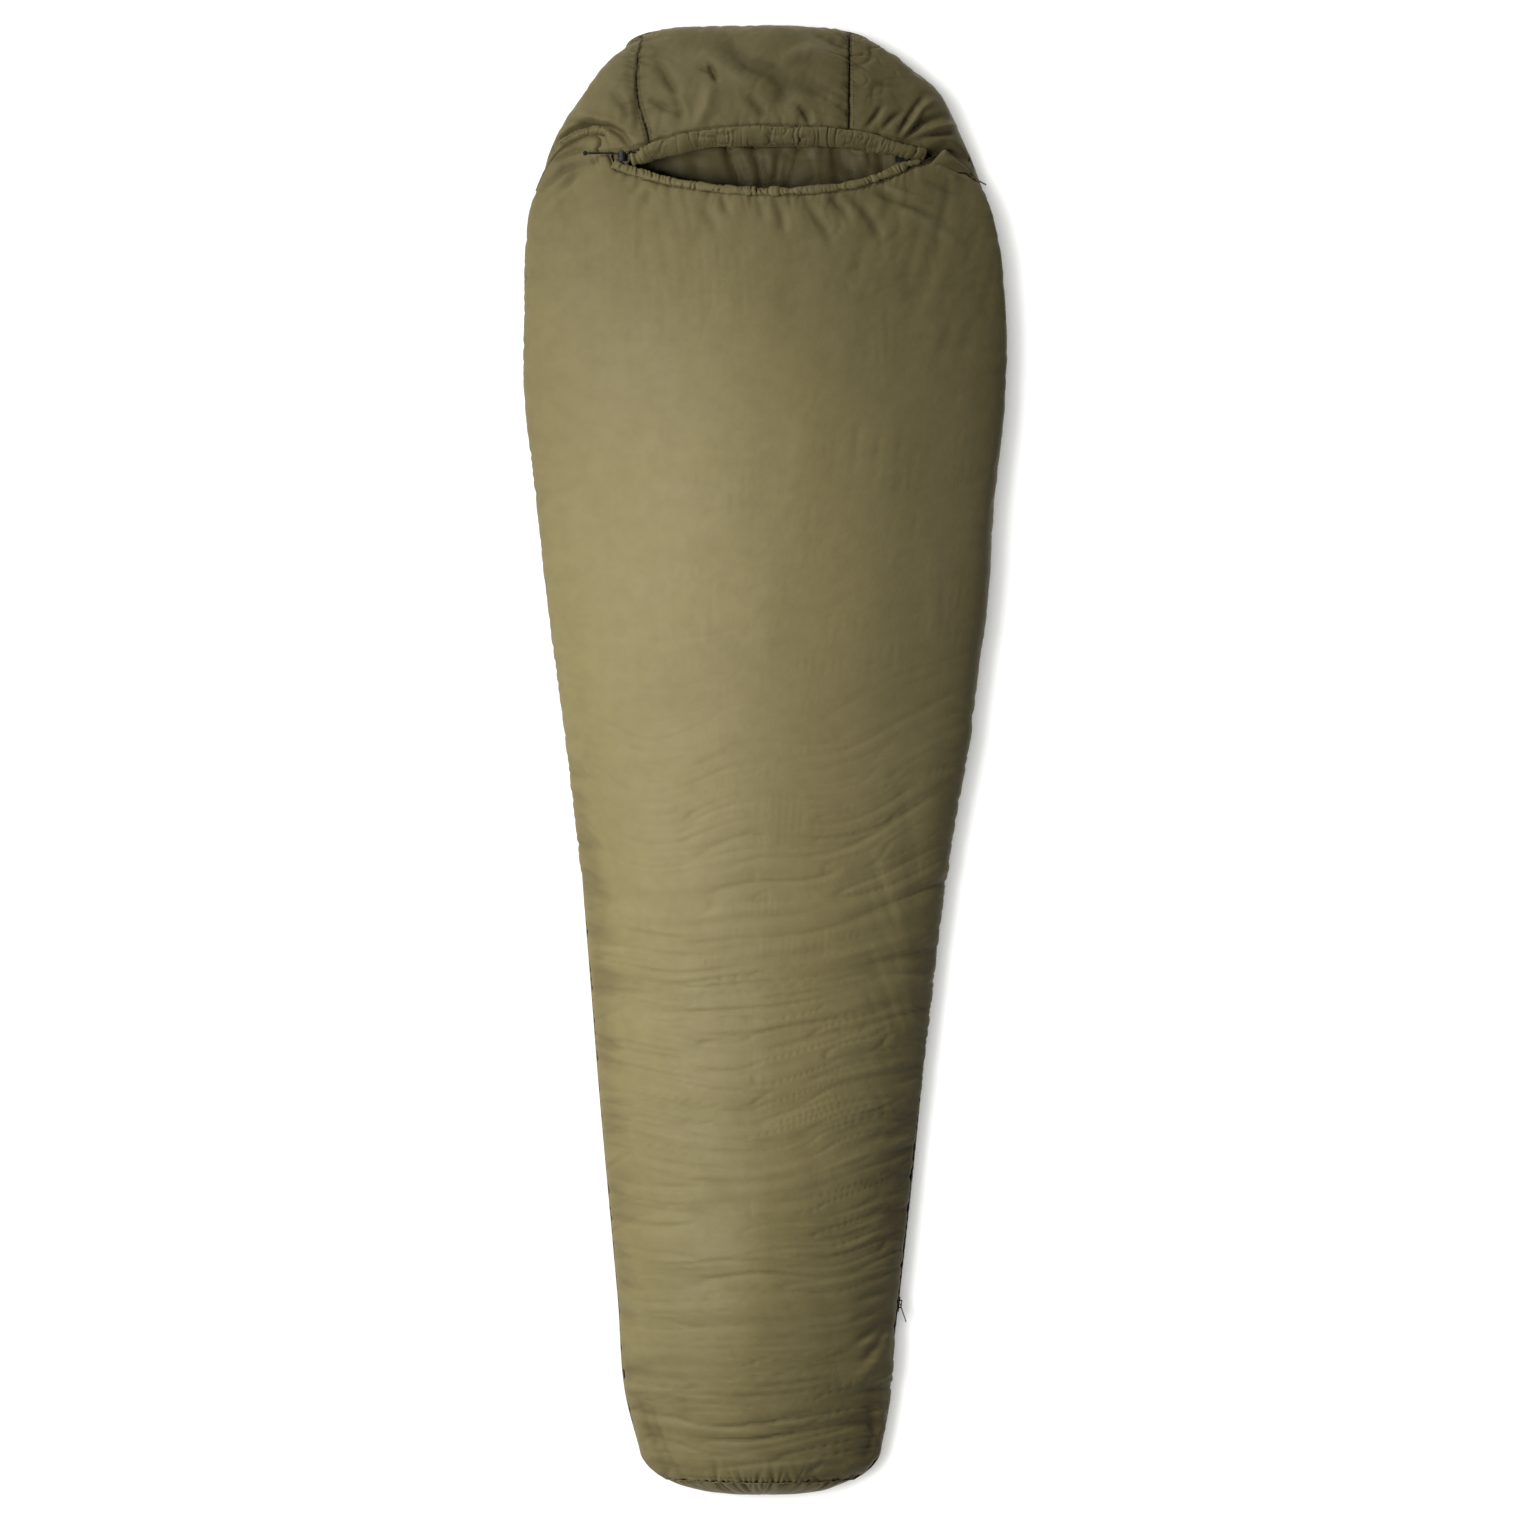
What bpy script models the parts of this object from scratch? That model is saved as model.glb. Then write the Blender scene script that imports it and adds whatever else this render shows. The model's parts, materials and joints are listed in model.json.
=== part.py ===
"""Padded mummy sleeping bag, lying on its back with the side zip closed.

X runs across the bag, +Y towards the head and +Z up from the ground. The origin is under the middle
of the bag, on the ground. The body and the hood are padded walls: an outer shell, a layer of
insulation and a lining. The zip runs up the right side on one long arc, so that both sliders can turn
about the arc's centre, and the hood tilts about the neck seam.
"""

import math

import bmesh
import bpy
import numpy as np
from mathutils import Matrix

# Overall size
HALF_LENGTH = 1.10
SEAM_HEIGHT = 0.048
# Outline seen from above: place along the bag, left edge, right edge
OUTLINE = (
    (-1.035, -0.188, 0.174),
    (-0.960, -0.208, 0.188),
    (-0.810, -0.221, 0.198),
    (-0.510, -0.248, 0.233),
    (-0.210, -0.273, 0.270),
    (0.090, -0.309, 0.315),
    (0.390, -0.346, 0.351),
    (0.540, -0.362, 0.363),
    (0.660, -0.364, 0.362),
    (0.840, -0.347, 0.334),
    (0.915, -0.320, 0.297),
    (0.975, -0.278, 0.266),
    (1.068, -0.209, 0.164),
)
# Height of the top of the bag: place along the bag, height
CREST = (
    (-1.035, 0.124),
    (-0.900, 0.140),
    (-0.500, 0.140),
    (0.000, 0.152),
    (0.500, 0.170),
    (0.750, 0.157),
    (0.880, 0.132),
)

# Walls
SKIN = 0.002
GAP = 0.0004
HOOD_GAP = 0.0014
BASE_LOFT = 0.046
UPPER_LOFT = 0.052
HEM_LOFT = 0.022
SIDE_LOFT = 0.014
EDGE_LOFT = 0.030
FLOOR_INSET = 0.055
LEFT_OVERHANG = 0.020

# Foot end
FOOT_BEND = -1.035
FOOT_PANEL_Y = -1.0785
FOOT_CENTRE = (-0.007, 0.055)
FOOT_LINING_SHARE = 0.4

# Neck and hood
NECK_Y = 0.915
TILT_CLEARANCE = math.tan(math.radians(16.5))
HEM_Y = 0.845
HEM_RISE_LEFT = 0.017
HEM_RISE_RIGHT = 0.025
HEM_SPAN = 0.24
HOOD_CORNER_Y = 1.068
HOOD_RIM_BULGE = 0.0235
HOOD_HEIGHT = 0.085
HOOD_LOFT = 0.036
HOOD_INSET = 0.027
HOOD_BACK_LOFT = 0.040
# Place of the hood's two panel seams across its width, at the rim and at the head end
HOOD_SEAMS_AT_RIM = (0.239, 0.724)
HOOD_SEAMS_AT_END = (0.050, 0.920)

# Drawcord tunnels
RIM_RADIUS = 0.010
RIM_ENDS = (-0.195, 0.236)
RIM_DROOP = 0.021
HEM_TUNNEL_RADIUS = 0.0065
HEM_TUNNEL_ENDS = (-0.170, 0.172)
TUNNEL_WALL = 0.0014
CORD_RADIUS = 0.0015

# Zip, on an arc in a level plane at the height of the side seam
ZIP_TOP = (0.303, 0.892)
ZIP_BOTTOM = (0.188, -0.905)
ZIP_SAGITTA = 0.026
ZIP_SLOT = 0.0093
ZIP_SEGMENTS = 20
CHAIN_HALF_GAP = 0.0007
CHAIN_HALF_HEIGHT = 0.0033
CHAIN_THICKNESS = 0.0024
TAPE_THICKNESS = 0.0012
TAPE_EDGE = 0.0090
DRAFT_TUBE_RADIUS = 0.009
UPPER_SLIDER_Y = 0.876
LOWER_SLIDER_Y = -0.816
SLIDER_HALF_LENGTH = 0.011

# Cord lock on the free end of the hood's drawcord
LOCK_AT = (-0.213, 0.905, 0.104)
LOCK_RADIUS = 0.0065
LOCK_TRAVEL = 0.0035
TAIL_END = -0.264

# Columns of points across the walls
LIP_STEPS = 2
DOME_STEPS = 5
CORNER_STEPS = 3
FLOOR_STEPS = 4
HOOD_PANEL_STEPS = (3, 6, 3)
HOOD_ROWS = 7
BODY_ROWS = (
    FOOT_PANEL_Y, -1.060, FOOT_BEND, -0.990, -0.945, -0.915, -0.800, -0.620, -0.440,
    -0.240, -0.030, 0.170, 0.360, 0.530, 0.670, 0.780,
)
HEAD_ROW_SHARES = (0.5, 1.0)


# ---------------------------------------------------------------- curves and grids

def clear_scene():
    for obj in list(bpy.data.objects):
        bpy.data.objects.remove(obj, do_unlink=True)


def smooth(t):
    t = min(max(t, 0.0), 1.0)
    return t * t * (3.0 - 2.0 * t)


def follow(rows, y, column=1):
    """The value at y on a smooth line through rows of (y, value, ...)."""
    ys = np.array([row[0] for row in rows])
    values = np.array([row[column] for row in rows])
    slopes = np.gradient(values, ys)
    y = min(max(y, ys[0]), ys[-1])
    k = min(max(int(np.searchsorted(ys, y)) - 1, 0), len(ys) - 2)
    step = ys[k + 1] - ys[k]
    t = (y - ys[k]) / step
    start = values[k] * (1 + 2 * t) * (1 - t) ** 2 + slopes[k] * step * t * (1 - t) ** 2
    end = values[k + 1] * t * t * (3 - 2 * t) + slopes[k + 1] * step * t * t * (t - 1)
    return float(start + end)


def at_depth(near, far, depth):
    """Points a set depth in from the near grid, on the lines that join it to the far grid."""
    across = far - near
    return near + across * (depth / np.linalg.norm(across, axis=2, keepdims=True))


def zip_circle():
    """Centre and radius of the arc that the zip follows."""
    top, bottom = np.array(ZIP_TOP), np.array(ZIP_BOTTOM)
    chord = float(np.linalg.norm(top - bottom))
    along = (top - bottom) / chord
    outward = np.array([along[1], -along[0]])
    radius = chord * chord / (8 * ZIP_SAGITTA) + ZIP_SAGITTA / 2
    centre = (top + bottom) / 2 - outward * (radius - ZIP_SAGITTA)
    return centre, radius


ZIP_CENTRE, ZIP_RADIUS = zip_circle()


def zip_x(y):
    return float(ZIP_CENTRE[0] + math.sqrt(ZIP_RADIUS**2 - (y - ZIP_CENTRE[1]) ** 2))


def zip_angle(y):
    return math.asin((y - ZIP_CENTRE[1]) / ZIP_RADIUS)


# ---------------------------------------------------------------- cross-sections of the body

def foot_scale(y):
    """How much of the full section is left where the foot end closes in."""
    share = (FOOT_BEND - y) / (FOOT_BEND + HALF_LENGTH)
    if share <= 0:
        return 1.0
    return (1 - min(share, 1.0) ** (1 / 0.6)) ** (1 / 3)


def seams_at(y):
    """Distance across to the left and the right seam, and half the slot that the right one leaves."""
    full = max(y, FOOT_BEND)
    left = follow(OUTLINE, full, 1) + LEFT_OVERHANG * smooth((full + 0.3) / 0.6)
    sewn = follow(OUTLINE, full, 2)
    zipped = smooth((full + 0.960) / 0.040)
    right = sewn + (zip_x(full) - sewn) * zipped
    open_slot = smooth((full + 0.945) / 0.030)
    return left, right, GAP / 2 + (ZIP_SLOT - GAP / 2) * open_slot


def widest_at(y, seams, slot):
    """The widest points of the upper wall, left and right, as (x, z)."""
    full = max(y, FOOT_BEND)
    found = []
    for column, seam, low in ((1, seams[0], GAP / 2), (2, seams[1], slot)):
        edge = follow(OUTLINE, full, column)
        if abs(edge) < abs(seam):
            edge = seam
        found.append((edge, SEAM_HEIGHT + low + 0.006 + 0.5 * abs(edge - seam)))
    return found


def lip(seam, edge, k):
    turn = k * math.pi / 2
    x = seam[0] + (edge[0] - seam[0]) * math.sin(turn)
    return x, edge[1] - (edge[1] - seam[1]) * math.cos(turn)


def dome(edge, top, k):
    turn = k * math.pi / 2
    x = top[0] + (edge[0] - top[0]) * math.cos(turn) ** 0.85
    return x, edge[1] + (top[1] - edge[1]) * math.sin(turn) ** 0.9


def arch(left_seam, left_edge, top, right_edge, right_seam):
    """The upper wall's curve from the left seam, out round the edge and over the top, to the right."""
    left = [lip(left_seam, left_edge, k / LIP_STEPS) for k in range(LIP_STEPS)]
    left += [dome(left_edge, top, k / DOME_STEPS) for k in range(DOME_STEPS)]
    right = [lip(right_seam, right_edge, k / LIP_STEPS) for k in range(LIP_STEPS)]
    right += [dome(right_edge, top, k / DOME_STEPS) for k in range(DOME_STEPS)]
    return left + [top] + right[::-1]


def upper_curve(y, inside):
    """The upper wall's outer or inner points at y, before the foot end closes in."""
    left, right, slot = seams_at(y)
    edges = widest_at(y, (left, right), slot)
    middle = (edges[0][0] + edges[1][0]) / 2
    crest = follow(CREST, max(y, FOOT_BEND))
    left_z, right_z = SEAM_HEIGHT + GAP / 2, SEAM_HEIGHT + slot
    if not inside:
        return arch((left, left_z), edges[0], (middle, crest), edges[1], (right, right_z))
    taper = smooth((HEM_Y + 0.02 - y) / 0.16)
    loft = HEM_LOFT + (UPPER_LOFT - HEM_LOFT) * taper
    side = 0.018 + (EDGE_LOFT - 0.018) * taper
    inner = [(edges[0][0] + side, edges[0][1] + 0.004), (edges[1][0] - side, edges[1][1] + 0.004)]
    seam_left, seam_right = (left + SIDE_LOFT, left_z), (right - SIDE_LOFT, right_z)
    return arch(seam_left, inner[0], (middle, crest - loft), inner[1], seam_right)


def corner(seam, floor, k):
    turn = k * math.pi / 2
    x = seam[0] + (floor[0] - seam[0]) * (1 - math.cos(turn))
    return x, seam[1] - (seam[1] - floor[1]) * math.sin(turn)


def ramp(seam, floor, k):
    return seam[0] + (floor[0] - seam[0]) * k, seam[1] + (floor[1] - seam[1]) * smooth(k)


def base_curve(y, inside):
    """The base wall's outer or inner points at y, from the right seam under the sleeper to the left."""
    left, right, slot = seams_at(y)
    low = (SEAM_HEIGHT - GAP / 2, SEAM_HEIGHT - slot)
    bend, height, inset, side = corner, 0.0, FLOOR_INSET, 0.0
    if inside:
        bend, height, inset, side = ramp, BASE_LOFT, FLOOR_INSET + EDGE_LOFT, SIDE_LOFT
    steps = range(CORNER_STEPS)
    start, end = (left + inset, height), (right - inset, height)
    rise = [bend((left + side, low[0]), start, k / CORNER_STEPS) for k in steps]
    fall = [bend((right - side, low[1]), end, k / CORNER_STEPS) for k in steps]
    flat = [(start[0] + (end[0] - start[0]) * k / FLOOR_STEPS, height) for k in range(FLOOR_STEPS + 1)]
    return fall + flat[::-1] + rise[::-1]


def closed_in(point, scale):
    """A section point drawn in towards the middle of the foot."""
    x, z = point
    return FOOT_CENTRE[0] + (x - FOOT_CENTRE[0]) * scale, FOOT_CENTRE[1] + (z - FOOT_CENTRE[1]) * scale


def body_point(curve, y, column, inside):
    x, z = closed_in(curve(y, inside)[column], foot_scale(y))
    if inside and y < FOOT_BEND:
        y = FOOT_BEND + FOOT_LINING_SHARE * (y - FOOT_BEND)
    return x, y, z


def hem_y(x):
    rise = HEM_RISE_LEFT if x < 0 else HEM_RISE_RIGHT
    return HEM_Y + rise * (x / HEM_SPAN) ** 2


def neck_face_y(z):
    """The body's end at the neck, cut back so that the hood can tilt over it."""
    return NECK_Y - z * TILT_CLEARANCE


def upper_grid(inside):
    rows = []
    for y in BODY_ROWS:
        count = len(upper_curve(y, inside))
        rows.append([body_point(upper_curve, y, c, inside) for c in range(count)])
    last = BODY_ROWS[-1]
    for share in HEAD_ROW_SHARES:
        row = []
        for c, (x, z) in enumerate(upper_curve(HEM_Y, inside)):
            edge = min(hem_y(x), neck_face_y(z) - GAP)
            row.append(body_point(upper_curve, last + (edge - last) * share, c, inside))
        rows.append(row)
    return np.array(rows)


def base_grid(inside):
    rows = []
    for y in BODY_ROWS:
        count = len(base_curve(y, inside))
        rows.append([body_point(base_curve, y, c, inside) for c in range(count)])
    rows.append([(x, neck_face_y(z), z) for x, z in base_curve(0.90, inside)])
    return np.array(rows)


def foot_rings(inside):
    """Rings of the foot panel, from its seam with the body to its middle."""
    loop = upper_curve(FOOT_BEND, inside) + base_curve(FOOT_BEND, inside)[1:-1]
    edge = foot_scale(FOOT_PANEL_Y - 0.001)
    rings = []
    for scale in (edge, 0.72 * edge, 0.38 * edge, 0.0):
        share = (1 - scale**3) ** 0.6
        if inside:
            share *= FOOT_LINING_SHARE
        y = FOOT_BEND - share * (HALF_LENGTH + FOOT_BEND)
        rings.append([(x, y, z) for x, z in (closed_in(p, scale) for p in loop)])
    return np.array(rings)


# ---------------------------------------------------------------- surfaces of the hood

def hood_places(v):
    """Places of the hood's columns across its width, 0 at the left seam and 1 at the right."""
    first = HOOD_SEAMS_AT_RIM[0] + (HOOD_SEAMS_AT_END[0] - HOOD_SEAMS_AT_RIM[0]) * v
    second = HOOD_SEAMS_AT_RIM[1] + (HOOD_SEAMS_AT_END[1] - HOOD_SEAMS_AT_RIM[1]) * v
    left, middle, right = HOOD_PANEL_STEPS
    places = [first * (k / left) ** 1.5 for k in range(left)]
    places += [first + (second - first) * k / middle for k in range(middle)]
    places += [1 - (1 - second) * (1 - k / right) ** 1.5 for k in range(right + 1)]
    return places


def hood_point(s, v, top, inside):
    """A point of the hood's upper or back wall; v is 0 at the neck and 1 at the head end."""
    turn = v * math.pi / 2
    along = math.sin(turn)
    inset = HOOD_INSET if inside else 0.0
    side_y = NECK_Y + (HOOD_CORNER_Y - NECK_Y) * along
    left, right = follow(OUTLINE, side_y, 1) + inset, follow(OUTLINE, side_y, 2) - inset
    bulge = math.sqrt(1 - abs(2 * s - 1) ** 4)
    start_y = NECK_Y + GAP + (HOOD_RIM_BULGE * bulge if top else 0.0)
    end_y = HOOD_CORNER_Y + (HALF_LENGTH - HOOD_CORNER_Y) * bulge - inset
    y = start_y + (end_y - start_y) * along
    across = 1 - (2 * s - 1) ** 2
    if top:
        loft = HEM_LOFT + (HOOD_LOFT - HEM_LOFT) * smooth(v / 0.4)
        height = HOOD_HEIGHT - (loft if inside else 0.0)
        z = SEAM_HEIGHT + GAP / 2 + height * across**0.42 * max(math.cos(turn), 0.0) ** 0.6
    else:
        depth = SEAM_HEIGHT - GAP / 2
        drop = depth - (HOOD_BACK_LOFT if inside else 0.0)
        z = depth - drop * math.sqrt((1 - abs(2 * s - 1) ** 8) * (1 - v**8))
    return left + (right - left) * s, y, z


def hood_grid(top, inside):
    rows = []
    for k in range(HOOD_ROWS + 1):
        v = k / HOOD_ROWS
        rows.append([hood_point(s, v, top, inside) for s in hood_places(v)])
    return np.array(rows)


def rim_edge(x):
    """Middle of the hood's rim edge at x, as (y, z)."""
    left, right = follow(OUTLINE, NECK_Y, 1), follow(OUTLINE, NECK_Y, 2)
    s = (x - left) / (right - left)
    outer, inner = hood_point(s, 0.0, True, False), hood_point(s, 0.0, True, True)
    return outer[1], (outer[2] + inner[2]) / 2


# ---------------------------------------------------------------- objects

def material(name, colour, roughness, metallic=0.0):
    made = bpy.data.materials.new(name)
    made.use_nodes = True
    shader = made.node_tree.nodes["Principled BSDF"]
    shader.inputs["Base Color"].default_value = (*colour, 1.0)
    shader.inputs["Roughness"].default_value = roughness
    shader.inputs["Metallic"].default_value = metallic
    made.diffuse_color = (*colour, 1.0)
    return made


def add_object(name, data, colour, roughness, metallic=0.0):
    obj = bpy.data.objects.new(name, data)
    bpy.context.scene.collection.objects.link(obj)
    data.materials.append(material(name, colour, roughness, metallic))
    return obj


def mesh_from(bm, name):
    bmesh.ops.remove_doubles(bm, verts=bm.verts, dist=1e-6)
    bmesh.ops.recalc_face_normals(bm, faces=bm.faces)
    mesh = bpy.data.meshes.new(name)
    bm.to_mesh(mesh)
    bm.free()
    return mesh


def wall(name, outer, inner, look, closed=False):
    """A closed solid between two matching grids; closed joins its last column to its first."""
    rows, columns = outer.shape[:2]
    bm = bmesh.new()
    high = [[bm.verts.new(p) for p in row] for row in outer]
    low = [[bm.verts.new(p) for p in row] for row in inner]
    for r in range(rows - 1):
        for c in range(columns if closed else columns - 1):
            d = (c + 1) % columns
            bm.faces.new((high[r][c], high[r][d], high[r + 1][d]))
            bm.faces.new((high[r][c], high[r + 1][d], high[r + 1][c]))
            bm.faces.new((low[r][c], low[r + 1][d], low[r][d]))
            bm.faces.new((low[r][c], low[r + 1][c], low[r + 1][d]))
    for r in (0, rows - 1):
        for c in range(columns if closed else columns - 1):
            d = (c + 1) % columns
            bm.faces.new((high[r][c], high[r][d], low[r][d]))
            bm.faces.new((high[r][c], low[r][d], low[r][c]))
    for c in () if closed else (0, columns - 1):
        for r in range(rows - 1):
            bm.faces.new((high[r][c], high[r + 1][c], low[r + 1][c]))
            bm.faces.new((high[r][c], low[r + 1][c], low[r][c]))
    return add_object(name, mesh_from(bm, name), *look)


def layered_wall(prefix, outer, inner, closed=False, gap=GAP):
    """The shell, insulation and lining of one padded wall, a hair apart."""
    step = SKIN + gap
    wall(f"{prefix}_shell", outer, at_depth(outer, inner, SKIN), SHELL_LOOK, closed)
    fill = at_depth(outer, inner, step), at_depth(inner, outer, step)
    wall(f"{prefix}_insulation", *fill, FILL_LOOK, closed)
    wall(f"{prefix}_lining", at_depth(inner, outer, SKIN), inner, LINING_LOOK, closed)


def tube(name, points, radius, look, bevel_resolution=2):
    """A solid cord or roll along a run of points."""
    curve = bpy.data.curves.new(name, "CURVE")
    curve.dimensions = "3D"
    curve.bevel_depth = radius
    curve.bevel_resolution = bevel_resolution
    curve.use_fill_caps = True
    spline = curve.splines.new("POLY")
    spline.points.add(len(points) - 1)
    for place, point in zip(spline.points, points):
        place.co = (*point, 1.0)
    return add_object(name, curve, *look)


def sleeve(name, points, radius, wall_thickness, look, sides=8):
    """A hollow tunnel of fabric round a run of points, open at both ends."""
    points = np.array(points)
    along = np.gradient(points, axis=0)
    along /= np.linalg.norm(along, axis=1, keepdims=True)
    across = np.cross(along, (0.0, 0.0, 1.0))
    across /= np.linalg.norm(across, axis=1, keepdims=True)
    up = np.cross(across, along)
    grids = []
    for size in (radius, radius - wall_thickness):
        rings = []
        for middle, a, b in zip(points, across, up):
            turns = [2 * math.pi * k / sides for k in range(sides)]
            rings.append([middle + size * (math.cos(t) * a + math.sin(t) * b) for t in turns])
        grids.append(np.array(rings))
    return wall(name, grids[0], grids[1], look, closed=True)


def prism(outline, low, high, axis):
    """A mesh of a flat outline pushed from low to high along an axis, 0, 1 or 2."""
    bm = bmesh.new()
    others = [k for k in range(3) if k != axis]
    corners = []
    for a, b in outline:
        place = [0.0, 0.0, 0.0]
        place[others[0]], place[others[1]], place[axis] = a, b, low
        corners.append(bm.verts.new(place))
    base = bm.faces.new(corners)
    pushed = bmesh.ops.extrude_face_region(bm, geom=[base])["geom"]
    step = [0.0, 0.0, 0.0]
    step[axis] = high - low
    moved = [item for item in pushed if isinstance(item, bmesh.types.BMVert)]
    bmesh.ops.translate(bm, verts=moved, vec=step)
    bmesh.ops.recalc_face_normals(bm, faces=bm.faces)
    mesh = bpy.data.meshes.new("prism")
    bm.to_mesh(mesh)
    bm.free()
    return mesh


def rectangle(x0, x1, y0, y1):
    return ((x0, y0), (x1, y0), (x1, y1), (x0, y1))


def disc(radius, sides, middle=(0.0, 0.0)):
    turns = [2 * math.pi * (k + 0.5) / sides for k in range(sides)]
    return [(middle[0] + radius * math.cos(t), middle[1] + radius * math.sin(t)) for t in turns]


def combined(first, others, operation):
    """One mesh made from the first by joining or cutting it with each of the others."""
    target = bpy.data.objects.new("target", first)
    bpy.context.scene.collection.objects.link(target)
    for mesh in others:
        tool = bpy.data.objects.new("tool", mesh)
        bpy.context.scene.collection.objects.link(tool)
        cut = target.modifiers.new("cut", "BOOLEAN")
        cut.operation = operation
        cut.object = tool
        graph = bpy.context.evaluated_depsgraph_get()
        result = bpy.data.meshes.new_from_object(target.evaluated_get(graph))
        target.modifiers.clear()
        target.data = result
        bpy.data.objects.remove(tool)
    made = target.data
    bpy.data.objects.remove(target)
    return made


def mirrored_x(mesh):
    """A copy of a mesh turned over to the other side of x = 0."""
    copy = mesh.copy()
    copy.transform(Matrix.Scale(-1, 4, (1, 0, 0)))
    copy.flip_normals()
    return copy


# ---------------------------------------------------------------- looks

SHELL_LOOK = ((0.190, 0.160, 0.080), 0.55)
LINING_LOOK = ((0.075, 0.063, 0.032), 0.60)
FILL_LOOK = ((0.800, 0.800, 0.780), 0.95)
ZIP_LOOK = ((0.012, 0.012, 0.012), 0.60)
METAL_LOOK = ((0.030, 0.030, 0.032), 0.40, 0.60)
CORD_LOOK = ((0.015, 0.015, 0.015), 0.80)
PLASTIC_LOOK = ((0.014, 0.014, 0.014), 0.35)
SPRING_LOOK = ((0.600, 0.600, 0.620), 0.30, 1.00)


# ---------------------------------------------------------------- sub-parts of the body

def make_body():
    layered_wall("upper", upper_grid(False), upper_grid(True))
    layered_wall("base", base_grid(False), base_grid(True))
    layered_wall("foot", foot_rings(False), foot_rings(True), closed=True)


def make_zip_garage():
    """The flap that lies over the right shoulder and covers the top of the zip."""
    outer, inner = upper_grid(False), upper_grid(True)
    patch = slice(-2, None), slice(10, 13)
    near, far = outer[patch], inner[patch]
    wall("zip_garage", at_depth(near, far, -GAP - SKIN), at_depth(near, far, -GAP), SHELL_LOOK)


def hem_path():
    """The collar tunnel's middle, just in front of the upper wall's head edge."""
    outer, inner = upper_grid(False)[-1], upper_grid(True)[-1]
    middle = (outer + inner) / 2
    order = np.argsort(middle[:, 0])
    count = 18
    path = []
    for k in range(count + 1):
        x = HEM_TUNNEL_ENDS[0] + (HEM_TUNNEL_ENDS[1] - HEM_TUNNEL_ENDS[0]) * k / count
        z = float(np.interp(x, middle[order, 0], middle[order, 2]))
        path.append((x, hem_y(x) + HEM_TUNNEL_RADIUS + 0.0025, z))
    return path


def make_collar():
    path = hem_path()
    sleeve("collar_hem_tunnel", path, HEM_TUNNEL_RADIUS, TUNNEL_WALL, SHELL_LOOK)
    tube("collar_elastic", path, CORD_RADIUS, CORD_LOOK, 1)


# ---------------------------------------------------------------- sub-parts of the hood

def hood_panel(name, outer, inner, first, last):
    """One shell panel of the hood, drawn back a hair where it meets the next panel."""
    grids = []
    for grid in (outer, inner):
        part = grid[:, first : last + 1].copy()
        for end, beside, trimmed in ((0, 1, first > 0), (-1, -2, last < outer.shape[1] - 1)):
            if trimmed:
                step = part[:, beside] - part[:, end]
                part[:, end] += step * (GAP / 2 / np.linalg.norm(step, axis=1, keepdims=True))
        grids.append(part)
    wall(name, *grids, SHELL_LOOK)


def make_hood():
    outer, inner = hood_grid(True, False), hood_grid(True, True)
    under = at_depth(outer, inner, SKIN)
    left, middle, right = HOOD_PANEL_STEPS
    hood_panel("hood_left_shell", outer, under, 0, left)
    hood_panel("hood_centre_shell", outer, under, left, left + middle)
    hood_panel("hood_right_shell", outer, under, left + middle, left + middle + right)
    step = SKIN + HOOD_GAP
    fill = at_depth(outer, inner, step), at_depth(inner, outer, step)
    wall("hood_upper_insulation", *fill, FILL_LOOK)
    wall("hood_upper_lining", at_depth(inner, outer, SKIN), inner, LINING_LOOK)
    layered_wall("hood_back", hood_grid(False, False), hood_grid(False, True), gap=HOOD_GAP)


def rim_point(x):
    y, z = rim_edge(x)
    droop = RIM_DROOP * smooth((abs(x) - 0.135) / 0.075)
    return x, y - RIM_RADIUS - 0.002 - droop, z


def rim_path():
    count = 22
    start, end = RIM_ENDS
    return [rim_point(start + (end - start) * k / count) for k in range(count + 1)]


def make_rim():
    """The rim tunnel, and the drawcord that runs through it and out through the cord lock."""
    path = rim_path()
    sleeve("hood_rim_tunnel", path, RIM_RADIUS, TUNNEL_WALL, SHELL_LOOK)
    lock_x, lock_y, lock_z = LOCK_AT
    tail_start = lock_x + 0.010
    tail = [(TAIL_END + (tail_start - TAIL_END) * k / 6, lock_y, lock_z) for k in range(7)]
    tube("hood_drawcord", tail + path[1:-1], CORD_RADIUS, CORD_LOOK)
    knot = bmesh.new()
    bmesh.ops.create_uvsphere(knot, u_segments=10, v_segments=6, radius=0.0038)
    obj = add_object("drawcord_knot", mesh_from(knot, "drawcord_knot"), *CORD_LOOK)
    obj.location = (TAIL_END - 0.0038 - GAP, lock_y, lock_z)


def make_inner_strap():
    """A short webbing strap that hangs inside the face opening from the right end of the rim."""
    profile = ((0.9020, 0.086), (0.9032, 0.086), (0.8962, 0.060), (0.8950, 0.060))
    mesh = prism([(y, z) for y, z in profile], 0.195, 0.208, 0)
    add_object("inner_strap", mesh, *CORD_LOOK)


# ---------------------------------------------------------------- cord lock

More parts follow.
